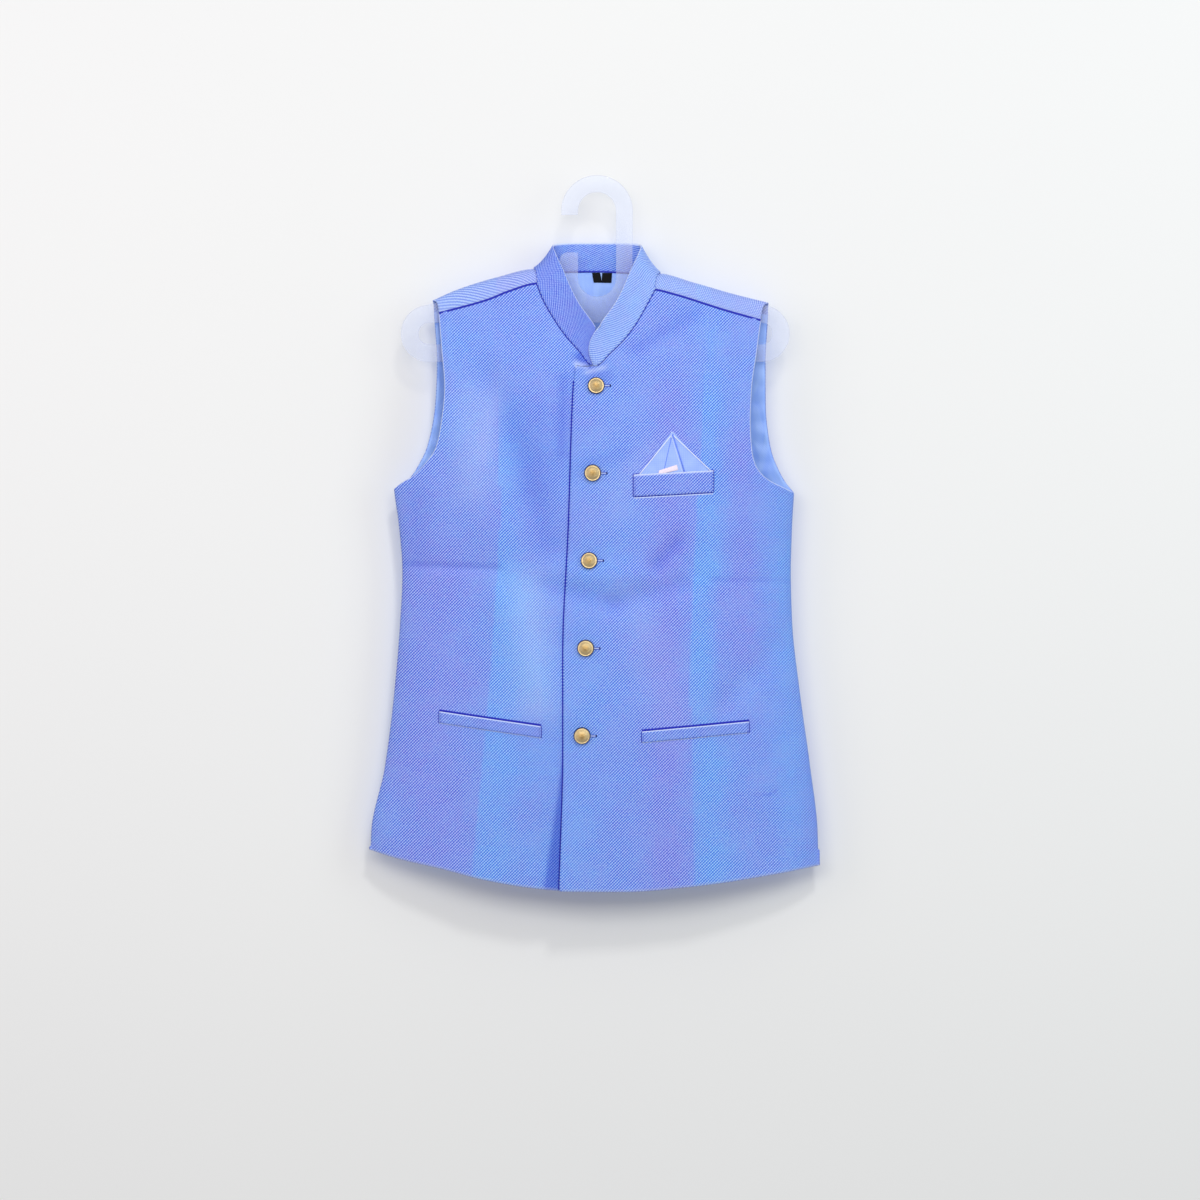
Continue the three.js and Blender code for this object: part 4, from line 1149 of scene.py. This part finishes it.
# a narrow strip along a path on the cloth, on its front (-1) or on its back (1)
def ribbonAlong(name, depth, path, width, lift, thick, material, way=-1):
    path = np.array(path, float)
    steps = np.linalg.norm(np.diff(path, axis=0), axis=1)
    total = np.concatenate([[0], np.cumsum(steps)])
    at = np.linspace(0, total[-1], max(3, int(total[-1] / stripStep)))
    x, z = np.interp(at, total, path[:, 0]), np.interp(at, total, path[:, 1])
    tangent = unit(np.stack([np.gradient(x), np.gradient(z)], -1))
    side = np.stack([-tangent[:, 1], tangent[:, 0]], -1)
    rows = []
    for s in (-0.5, 0, 0.5):
        px, pz = x + side[:, 0] * s * width, z + side[:, 1] * s * width
        rows.append(np.stack([px, depth(px, pz) + way * (lift + thick * (1 - abs(s))), pz], -1))
    net = np.array(rows)
    quads = netQuads(3, len(x))
    if normalsOf(net.reshape(-1, 3), quads)[:, 1].mean() * way < 0:
        quads = quads[:, ::-1]
    blank = np.zeros(net.shape[0] * net.shape[1])
    fields = {"tone": blank, "shade": blank}
    return makeWall(name, net.reshape(-1, 3), quads, thick, [material], flatUvs(net), fields)


seams = {
    "lift": 0.05, "thick": 0.35, "liningClear": 1.1,
    "width": 2.1, "edgeWidth": 2.6, "neckWidth": 1.6, "centreWidth": 1.3,
    "edgeTop": -218, "edgeFoot": -797, "edgeInset": 0.9,
    "neckHalf": 62, "neckDrop": 0.6,
    "centreTop": -93, "centreFoot": -791,
}


def insideBack(x, z):  # just in front of the lining
    return backSurface(x, z) - body["cloth"] - body["gap"] - body["lining"] - seams["liningClear"]


def makeSeams():  # painted shade: dark strips along the deep lines where the fronts, the yokes and the collar are sewn together, and the over front's shadow along its edge
    s, made = seams, {}

    def run(name, depth, path, width=s["width"], way=-1):
        strip = ribbonAlong(name, depth, path, width, s["lift"], s["thick"], seamShade, way)
        made[name] = addPiece(strip, [])

    halves = (("right", underY, underNet, underCollarRow), ("left", overY, overNet, overCollarRow))
    for side, depth, net, row in halves:
        run(f"shoulder_seam_{side}", depth, net[-1, :, [0, 2]].T)
        run(f"collar_seam_{side}", depth, net[row + 1:, -1][:, [0, 2]])
    z = np.linspace(s["edgeTop"], s["edgeFoot"], 90)
    edge = np.stack([read(frontEdges["over"], "z", z, "x") - s["edgeInset"], z], -1)
    run("front_edge_shadow", underY, edge, s["edgeWidth"])
    x = np.linspace(-s["neckHalf"], s["neckHalf"], 30)
    neck = read(body["backNeck"], "x", x, "z")
    run("back_neck_seam", insideBack, np.stack([x, neck - s["neckDrop"]], -1), s["neckWidth"])
    run("back_collar_seam", backSurface, neckLine[:, [0, 2]], s["neckWidth"], way=1)
    z = np.linspace(s["centreTop"], s["centreFoot"], 60)
    run("centre_back_seam", backSurface, np.stack([z * 0, z], -1), s["centreWidth"], way=1)
    return made


seamPieces = makeSeams()

welts = {
    "breast_welt": {
        "x0": 42, "z0": -325, "x1": 132, "z1": -320, "deep": 24, "lip": 0.9, "tone": 0.28,
        "ditch": 1.5, "mouth": 1.6, "turnDrop": 2.2,
    },
    "pocket_welt_right": {
        "x0": -179.5, "z0": -594.5, "x1": -64, "z1": -611, "deep": 12, "lip": 0.7, "tone": 0.35,
        "ditch": 1.3, "mouth": 3.2, "turnDrop": 0.7,
    },
    "pocket_welt_left": {
        "x0": 51.5, "z0": -617, "x1": 173, "z1": -606, "deep": 11.5, "lip": 0.7, "tone": 0.4,
        "ditch": 1.3, "mouth": 3.2, "turnDrop": 0.7,
    },
}
weltWall = 1.3
weltRoom = {"side": 0.6, "top": 0.5, "foot": 0.7, "turn": 1.3, "lift": 0.02}  # its seams lie just outside it


def makeWelts():
    made = []
    room = weltRoom
    for name, w in welts.items():
        depth = underY if w["x0"] < 0 else overY
        corners = [
            (w["x0"], w["z0"] - w["deep"]), (w["x1"], w["z1"] - w["deep"]),
            (w["x1"], w["z1"]), (w["x0"], w["z0"]),
        ]
        piece = layOn(
            name, depth, corners, (60, 12), weltWall, lambda a, u, lip=w["lip"]: 0.5 + lip * u ** 2,
            [twill], puff=0.35, tone=w["tone"],
        )
        addPiece(piece, [name])
        # painted shade: dark strips in the ditch round each welt and in its mouth; a painted highlight: a
        # pale strip along its turned lower edge
        left, right = w["x0"] - room["side"], w["x1"] + room["side"]
        border = [
            (left, w["z0"] + room["top"]), (left, corners[0][1] - room["foot"]),
            (right, corners[1][1] - room["foot"]), (right, w["z1"] + room["top"]),
        ]
        runs = [border] if name == "breast_welt" else [border[:2], border[2:]]
        strips = [
            ribbonAlong(f"{name}_seam_{i + 1}", depth, run, w["ditch"], room["lift"], 0.2, seamShade)
            for i, run in enumerate(runs)
        ]
        rise = w["mouth"] * 0.4
        top = [(w["x0"] - room["top"], w["z0"] + rise), (w["x1"] + room["top"], w["z1"] + rise)]
        strips.append(ribbonAlong(name + "_mouth", depth, top, w["mouth"], room["lift"], 0.2, seamShade))
        below = [(x, z - w["turnDrop"]) for x, z in corners[:2]]
        strips.append(ribbonAlong(name + "_turn", depth, below, room["turn"], room["lift"], 0.25, paleTurnHighlight))
        for strip in strips:
            addPiece(strip, [])
        made.append((piece, strips))
    return made


weltPieces = makeWelts()

square = {
    "left": 47, "fold": 99, "right": 130, "apexX": 85.5, "apexZ": -276, "wall": 0.5, "tuck": 3,
    "creases": [  # where it meets the welt, its shift to the right, width, lift and material
        (99, 0.6, 1.1, 2.1, foldShade), (98, -1.2, 0.9, 2.2, paleTurnHighlight), (75.5, 0, 0.7, 1.9, foldShade),
        (48.5, 0, 1.1, 1.9, squareHemHighlight), (128.5, 0.5, 1.1, 1.6, squareHemHighlight),
    ],
}


def makePocketSquare():
    w, s = welts["breast_welt"], square

    def mouth(x):  # a point at the welt's mouth, a little way inside it
        return x, mix(w["z0"], w["z1"], (x - w["x0"]) / (w["x1"] - w["x0"])) - s["tuck"]

    left = [
        mouth(s["left"]), mouth(s["fold"]),
        (s["apexX"] + 0.4, s["apexZ"]), (s["apexX"] - 0.8, s["apexZ"]),
    ]
    right = [
        mouth(s["fold"] - 4), mouth(s["right"]),
        (s["apexX"] + 1.2, s["apexZ"] - 0.5), (s["apexX"] - 0.5, s["apexZ"] - 0.5),
    ]
    leftPiece = layOn(
        "pocket_square_left", overY, left, (36, 30), s["wall"],
        lambda a, u: 0.8 + 0.7 * smooth(0.5, 1, a) + 0.35 * np.exp(-((a - 0.55) / 0.05) ** 2),
        [lawn], puff=0.3,
    )
    rightPiece = layOn("pocket_square_right", overY, right, (24, 30), s["wall"], 0.35, [lawn], puff=0.3)
    addPiece(leftPiece, ["pocket_square_left"])
    addPiece(rightPiece, ["pocket_square_right"])
    low, high = (Vector(c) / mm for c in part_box("pocket_stiffener"))
    corners = [(low.x, low.z - 2), (high.x, low.z + 3), (high.x - 1.2, high.z), (low.x + 0.5, low.z + 2.2)]
    edge = layOn("pocket_stiffener", overY, corners, (12, 4), 0.5, 2.1, [card])
    addPiece(edge, ["pocket_stiffener"])
    folds = []
    for i, (foot, shift, width, lift, material) in enumerate(s["creases"]):
        path = [(s["apexX"] - 0.3 + shift, s["apexZ"] - 3), (foot + shift, mouth(foot)[1] + 3.4)]
        strip = ribbonAlong(f"pocket_square_crease_{i + 1}", overY, path, width, lift, 0.2, material)
        folds.append(addPiece(strip, []))
    return leftPiece, rightPiece, folds


squareLeft, squareRight, squareCreases = makePocketSquare()
print("welts and pocket square made")


buttons = {
    "turns": 96,
    "rays": 24,
    "rayDepth": 0.22,
    "faceFrom": 3.9,  # the rays are stamped above this height
    "share": 0.95,  # the metal's share of the button's width; the dark thread shows round it as a painted contact shadow
    "seat": 3.0,  # how far the shank starts in front of the middle of the button's place
    "profile": [  # radius and height above the cloth, from the shank to the middle of the face
        (0.01, 0), (2.6, 0), (2.7, 1.3), (7.6, 1.3), (8.6, 1.45), (9.15, 1.9), (9.3, 2.5), (9.2, 3.0),
        (8.85, 3.35), (8.4, 3.35), (8.15, 3.15), (7.9, 3.25), (7.0, 4.1), (5.4, 5.0), (3.6, 5.6), (1.8, 5.9),
        (0.01, 6.0),
    ],
    # the wound thread's section, reaching past the button's rim: a painted contact shadow
    "winding": [(5, -0.6), (9.2, -0.6), (9.6, 0.2), (9.2, 0.8), (5, 0.9)],
    "windingTurns": 40,
    "windingRise": 0.35,
    "slopeReach": 9,  # the button lies square to the cloth's slope over this far
}


def at(depth, x, z):
    return float(depth(np.array(x), np.array(z)))


def seatOf(place, rise=0):  # where a button starts, and the turn that stands it square to the cloth
    x, z, reach = place.x, place.z, buttons["slopeReach"]
    slopeX = (at(overY, x + reach, z) - at(overY, x - reach, z)) / (2 * reach)
    slopeZ = (at(overY, x, z + reach) - at(overY, x, z - reach)) / (2 * reach)
    outward = Vector((slopeX, -1, slopeZ)).normalized()
    return Vector((x, place.y, z + rise)) - outward * buttons["seat"], outward.to_track_quat("Z", "Y")


def onRing(seat, turn, radius, height, angle):
    return seat + turn @ Vector((radius * math.cos(angle), radius * math.sin(angle), height))


def ringFaces(rings, turns, closed):  # faces between one ring of points and the next
    return [
        [r * turns + c, r * turns + (c + 1) % turns, up * turns + (c + 1) % turns, up * turns + c]
        for r in range(rings if closed else rings - 1) for up in [(r + 1) % rings] for c in range(turns)
    ]


def makeButton(index, place):
    seat, turn = seatOf(place)
    turns, profile = buttons["turns"], np.array(buttons["profile"])
    points, wearAndRimHighlight = [], []
    for radius, height in profile * (buttons["share"], 1):
        onFace = height > buttons["faceFrom"] and radius > 1
        for a in np.linspace(0, math.tau, turns, endpoint=False):
            cut = math.cos(buttons["rays"] * a) if onFace else 0
            points.append(onRing(seat, turn, radius, height + buttons["rayDepth"] * cut, a))
            # painted highlight: the brass drawn paler towards the rim, and paler on the raised rays
            wearAndRimHighlight.append(min(1.0, max(0.0, 0.15 + 0.75 * (radius / 9) ** 1.2 + 0.2 * cut)))
    faces = ringFaces(len(profile), turns, False)
    faces.append(list(range(turns))[::-1])
    faces.append([(len(profile) - 1) * turns + c for c in range(turns)])
    name = f"button_{index}"
    addPiece(makeMesh(name, np.array(points), faces, [brass], fields={"tone": wearAndRimHighlight}), [name])


def makeShadowWinding(index, place):  # dark blue thread wound round the shank, under the rim and reaching past it: a painted contact shadow
    seat, turn = seatOf(place, buttons["windingRise"])
    turns, rings = buttons["windingTurns"], buttons["winding"]
    angles = np.linspace(0, math.tau, turns, endpoint=False)
    points = [onRing(seat, turn, radius, height, a) for radius, height in rings for a in angles]
    faces = ringFaces(len(rings), turns, True)
    addPiece(makeMesh(f"button_shadow_winding_{index}", np.array(points), faces, [navyAndShadow]), [])


for make in (makeButton, makeShadowWinding):
    for i, place in enumerate(buttonPlaces):
        make(i + 1, place)


def stitchTree():  # stitches along the edges of a mesh, each a small spindle of thread
    tree = bpy.data.node_groups.new("stitches", "GeometryNodeTree")
    sockets = {}
    for name, kind, value in [
        ("Geometry", "NodeSocketGeometry", None), ("Spacing", "NodeSocketFloat", 0.001),
        ("Length", "NodeSocketFloat", 0.002), ("Thickness", "NodeSocketFloat", 0.0005),
        ("Across", "NodeSocketBool", False), ("Seed", "NodeSocketInt", 3),
        ("Thread", "NodeSocketMaterial", None),
    ]:
        socket = tree.interface.new_socket(name, in_out="INPUT", socket_type=kind)
        if value is not None:
            socket.default_value = value
        sockets[name] = socket.identifier
    tree.interface.new_socket("Geometry", in_out="OUTPUT", socket_type="NodeSocketGeometry")
    given = addNode(tree, "NodeGroupInput").outputs
    curve = addNode(tree, "GeometryNodeMeshToCurve", {"Mesh": given["Geometry"]}).outputs[0]
    spaced = addNode(tree, "GeometryNodeResampleCurve", {
        "Curve": curve, "Length": given["Spacing"],
    }, mode="LENGTH")
    tangent = addNode(tree, "GeometryNodeInputTangent").outputs[0]
    across = addNode(tree, "ShaderNodeVectorMath", {
        0: tangent, 1: (0, 1, 0),
    }, operation="CROSS_PRODUCT").outputs[0]
    way = addNode(tree, "GeometryNodeSwitch", {
        "Switch": given["Across"], "False": tangent, "True": across,
    }, input_type="VECTOR").outputs[0]
    facing = addNode(tree, "FunctionNodeAlignRotationToVector", {"Vector": way}, axis="X").outputs[0]
    ball = addNode(tree, "GeometryNodeMeshUVSphere", {"Segments": 6, "Rings": 4, "Radius": 0.5}).outputs[0]
    size = addNode(tree, "ShaderNodeCombineXYZ", {
        "X": given["Length"], "Y": given["Thickness"], "Z": given["Thickness"],
    }).outputs[0]
    vary = addNode(tree, "FunctionNodeRandomValue", {
        2: 0.85, 3: 1.12, "Seed": given["Seed"],
    }, data_type="FLOAT")
    scale = addNode(tree, "ShaderNodeVectorMath", {0: size, 3: vary.outputs[1]}, operation="SCALE").outputs[0]
    placed = addNode(tree, "GeometryNodeInstanceOnPoints", {
        "Points": spaced.outputs[0], "Instance": ball, "Rotation": facing, "Scale": scale,
    }).outputs[0]
    solid = addNode(tree, "GeometryNodeRealizeInstances", {"Geometry": placed}).outputs[0]
    soft = addNode(tree, "GeometryNodeSetShadeSmooth", {"Geometry": solid}).outputs[0]
    dyed = addNode(tree, "GeometryNodeSetMaterial", {
        "Geometry": soft, "Material": given["Thread"],
    }).outputs[0]
    addNode(tree, "NodeGroupOutput", {"Geometry": dyed})
    return tree, sockets


stitches, stitchSockets = stitchTree()


def sew(name, paths, settings):  # paths are lists of points in millimetres
    points, edges = [], []
    for path in paths:
        first = len(points)
        points += [tuple(np.array(p) * mm) for p in path]
        edges += [(first + i, first + i + 1) for i in range(len(path) - 1)]
    guide = bpy.data.meshes.new(name + "Guide")
    guide.from_pydata(points, edges, [])
    holder = addObject(name + "Guide", guide)
    modifier = holder.modifiers.new("stitches", "NODES")
    modifier.node_group = stitches
    for key, value in settings.items():
        modifier[stitchSockets[key]] = value
    modifier[stitchSockets["Thread"]] = thread
    evaluated = holder.evaluated_get(bpy.context.evaluated_depsgraph_get())
    mesh = bpy.data.meshes.new_from_object(evaluated)
    mesh.name = name
    bpy.data.objects.remove(holder)
    return addPiece(addObject(name, mesh), [])


buttonhole = {
    "length": 13.5, "height": 2.3, "start": 2.8, "lift": 0.2, "slit": 1.2, "bar": 1.1,
    "stitch": {"Spacing": 0.5 * mm, "Length": 1.3 * mm, "Thickness": 0.45 * mm, "Across": True},
}


def makeButtonholes():
    loops, slits = [], []
    half, radius = buttonhole["length"] / 2, buttonhole["height"] / 2
    for place in buttonPlaces:
        centre = place.x + buttonhole["start"] + half
        path = []
        for a in np.linspace(0, math.tau, 49):
            dx = (half - radius) * (1 if math.cos(a) > 0 else -1) + radius * math.cos(a)
            x, z = centre + dx, place.z + radius * math.sin(a)
            path.append((x, at(overY, x, z) - buttonhole["lift"], z))
        loops.append(path)
        slit = [(centre - half + radius, place.z), (centre + half - radius, place.z)]
        number = len(slits) // 2 + 1
        strip = ribbonAlong(
            f"buttonhole_slit_{number}", overY, slit, buttonhole["slit"], 0.1, 0.12, paleTurnHighlight,
        )
        slits.append(addPiece(strip, []))
        end, tall = centre + half, buttonhole["bar"]
        ends = [(end, place.z - tall), (end, place.z + tall)]
        bar = ribbonAlong(f"buttonhole_bar_{number}", overY, ends, tall, 0.2, 0.4, navyAndShadow)
        slits.append(addPiece(bar, []))
    return [sew("buttonhole_stitches", loops, buttonhole["stitch"]), *slits]


buttonholePieces = makeButtonholes()


tack = {
    "inset": 1.3, "ends": 1.5, "lift": 1.05,
    "stitch": {"Spacing": 2.2 * mm, "Length": 1.6 * mm, "Thickness": 0.5 * mm, "Across": False},
}


def makeTacks():  # the welts' ends are sewn down with small stitches
    paths = []
    for w in welts.values():
        depth = underY if w["x0"] < 0 else overY
        for x, z in ((w["x0"] + tack["inset"], w["z0"]), (w["x1"] - tack["inset"], w["z1"])):
            steps = np.linspace(-w["deep"] + tack["ends"], -tack["ends"], 8)
            paths.append([(x, at(depth, x, z + s) - weltWall - tack["lift"], z + s) for s in steps])
    return sew("welt_tacks", paths, tack["stitch"])


tackPiece = makeTacks()
print("buttons, buttonholes and stitches made")


def makeLabels():
    made = []
    inset = body["cloth"] + body["lining"] + 1.2
    for i in (1, 2):
        low, high = (Vector(c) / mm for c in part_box(f"neck_label_{i}"))
        lean = 1.8 if i == 1 else -0.6
        corners = [(low.x + lean, low.z), (high.x + lean, low.z), (high.x, high.z), (low.x, high.z)]
        name = f"neck_label_{i}"
        piece = layOn(name, backY, corners, (8, 10), 0.5, lambda a, u: inset + 0.5 * (1 - u) ** 2, [ribbon])
        made.append(addPiece(piece, [name]))
    return made


labelPieces = makeLabels()


hanger = {
    "thick": 4, "edge": 0.7,
    "hookOuter": 41, "hookInner": 21.7, "hookTip": -26, "stubTop": -69, "stubEdge": 43, "stubRound": 9,
    "shank": 40.5, "slotFoot": -98, "shoulder": -95, "leftEndX": -192, "rightEndX": 188,
    "endZ": -162, "endOuter": 32.6, "endInner": 12.4, "step": 2.5,
}


def arc(cx, cz, radius, start, end):
    count = max(3, int(abs(end - start) * radius / hanger["step"]))
    return [(cx + radius * math.cos(a), cz + radius * math.sin(a)) for a in np.linspace(start, end, count)]


def makeHanger():
    h, pi = hanger, math.pi

    def touch(endX, corner):  # where the shoulder's slope meets the round end
        run, rise = abs(endX) - corner, h["endZ"] - h["shoulder"]
        return pi / 2 + math.atan2(rise, run) + math.asin(h["endOuter"] / math.hypot(run, rise))

    hookZ = -h["hookInner"]
    stubX = -h["stubEdge"] + h["stubRound"]
    outline = [
        *arc(h["rightEndX"], h["endZ"], h["endOuter"], -pi / 2, touch(h["rightEndX"], h["shank"])),
        (h["shank"], h["shoulder"]),
        *arc(0, hookZ, h["hookOuter"], 0, pi),
        (-h["hookOuter"], h["hookTip"]),
        (-h["hookInner"], h["hookTip"]),
        *arc(0, hookZ, h["hookInner"], pi, 0),
        *arc(0, h["slotFoot"], h["hookInner"], 0, -pi),
        (-h["hookInner"], h["stubTop"]),
        *arc(stubX, h["stubTop"] - h["stubRound"], h["stubRound"], pi / 2, pi),
        (-h["stubEdge"], h["shoulder"]),
        *arc(h["leftEndX"], h["endZ"], h["endOuter"], pi - touch(h["leftEndX"], h["stubEdge"]), pi * 1.5),
    ]
    slot = [
        *arc(h["leftEndX"], h["endZ"], h["endInner"], pi / 2, pi * 1.5),
        *arc(h["rightEndX"], h["endZ"], h["endInner"], -pi / 2, pi / 2),
    ]
    curve = bpy.data.curves.new("hangerOutline", "CURVE")
    curve.dimensions = "2D"
    curve.fill_mode = "BOTH"
    curve.extrude = (h["thick"] / 2 - h["edge"]) * mm
    curve.bevel_depth = h["edge"] * mm
    curve.bevel_resolution = 2
    curve.offset = -h["edge"] * mm
    for loop in (outline, slot):
        spline = curve.splines.new("POLY")
        spline.points.add(len(loop) - 1)
        for point, (x, z) in zip(spline.points, loop):
            point.co = (x * mm, z * mm, 0, 1)
        spline.use_cyclic_u = True
    flat = addObject("hangerOutline", curve)
    mesh = bpy.data.meshes.new_from_object(flat.evaluated_get(bpy.context.evaluated_depsgraph_get()))
    bpy.data.objects.remove(flat)
    for v in mesh.vertices:  # stood upright, facing the front
        v.co = (v.co.x, -v.co.z, v.co.y)
    mesh.materials.clear()
    mesh.materials.append(frosted)
    mesh.name = "hanger"
    addPiece(addObject("hangerPlate", mesh), ["hanger"])


makeHanger()
print("labels and hanger made")


stage = {
    "wallY": 34, "floorZ": -1350, "reach": 5000,
    "wall": "#ececea", "floor": "#eaeae8", "mottle": "#efefec", "mottleSize": 900,
}


# Emulsion paint, rolled on: matt, and open from behind so that it hides nothing
def paleMaterial(name, colour):
    material, tree = newMaterial(name)
    place = addNode(tree, "ShaderNodeTexCoord").outputs["Object"]
    mottle = addNode(tree, "ShaderNodeTexNoise", {
        "Vector": place, "Scale": noiseScale(stage["mottleSize"]), "Detail": 2.0,
    }).outputs["Fac"]
    paint = addNode(tree, "ShaderNodeMix", {
        0: mottle, 6: linear(colour), 7: linear(stage["mottle"]),
    }, data_type="RGBA").outputs[2]
    matt = addNode(tree, "ShaderNodeBsdfDiffuse", {"Color": paint})
    clear = addNode(tree, "ShaderNodeBsdfTransparent")
    behind = addNode(tree, "ShaderNodeNewGeometry").outputs["Backfacing"]
    shader = addNode(tree, "ShaderNodeMixShader", {0: behind, 1: matt.outputs[0], 2: clear.outputs[0]})
    return finishMaterial(material, shader)


def makePlane(name, corners, material):
    mesh = bpy.data.meshes.new(name)
    mesh.from_pydata([Vector(c) * mm for c in corners], [], [(0, 1, 2, 3)])
    mesh.materials.append(material)
    plane = addObject(name, mesh)
    plane.visible_shadow = False
    plane.visible_diffuse = False
    plane.visible_glossy = False
    return plane


def makeStage():
    s, r = stage, stage["reach"]
    y, z = s["wallY"], s["floorZ"]
    wallPaint, floorPaint = paleMaterial("wallPaint", s["wall"]), paleMaterial("floorPaint", s["floor"])
    wall = makePlane("wall", [(-r, y, z), (r, y, z), (r, y, r), (-r, y, r)], wallPaint)
    floor = makePlane("floor", [(-r, -r, z), (r, -r, z), (r, y, z), (-r, y, z)], floorPaint)


makeStage()

view = {"width": 1368, "x": 3.4, "z": -467, "planeY": -20, "distance": 4600, "sensor": 36}


def makeCamera():
    data = bpy.data.cameras.new("camera")
    data.sensor_width = view["sensor"]
    data.lens = view["sensor"] * view["distance"] / view["width"]
    camera = addObject("camera", data)
    camera.location = Vector((view["x"], view["planeY"] - view["distance"], view["z"])) * mm
    camera.rotation_euler = (math.pi / 2, 0, 0)
    bpy.context.scene.camera = camera


makeCamera()

lights = {
    "key": {"at": (-300, -2750, 450), "size": (2800, 1100), "power": 34, "colour": "#ffffff"},
    "high": {"at": (700, -3300, 2900), "size": (560, 560), "power": 42, "colour": "#ffffff"},
    "right": {"at": (2000, -1500, 200), "size": (900, 1600), "power": 11, "colour": "#eaf6ff"},
    "left": {"at": (-2100, -1300, 100), "size": (900, 1600), "power": 7.5, "colour": "#fff0fb"},
    "behind": {"at": (500, 2300, 900), "size": (2400, 1400), "power": 45, "colour": "#ffffff"},
}
aim = Vector((0, 0, -420)) * mm
room = {"colour": "#f6f7fa", "strength": 0.47}


def makeLights():
    for name, light in lights.items():
        data = bpy.data.lights.new(name, "AREA")
        data.shape = "RECTANGLE"
        data.size, data.size_y = (s * mm for s in light["size"])
        data.energy = light["power"]
        data.color = linear(light["colour"])[:3]
        lamp = addObject(name, data)
        lamp.location = Vector(light["at"]) * mm
        lamp.rotation_euler = (aim - lamp.location).to_track_quat("-Z", "Y").to_euler()
    world = bpy.data.worlds.new("room")
    world.use_nodes = True
    sky = world.node_tree.nodes["Background"].inputs
    sky["Color"].default_value = linear(room["colour"])
    sky["Strength"].default_value = room["strength"]
    bpy.context.scene.world = world
    bpy.context.scene.view_settings.view_transform = "Standard"


makeLights()
print("stage, camera and lights made")
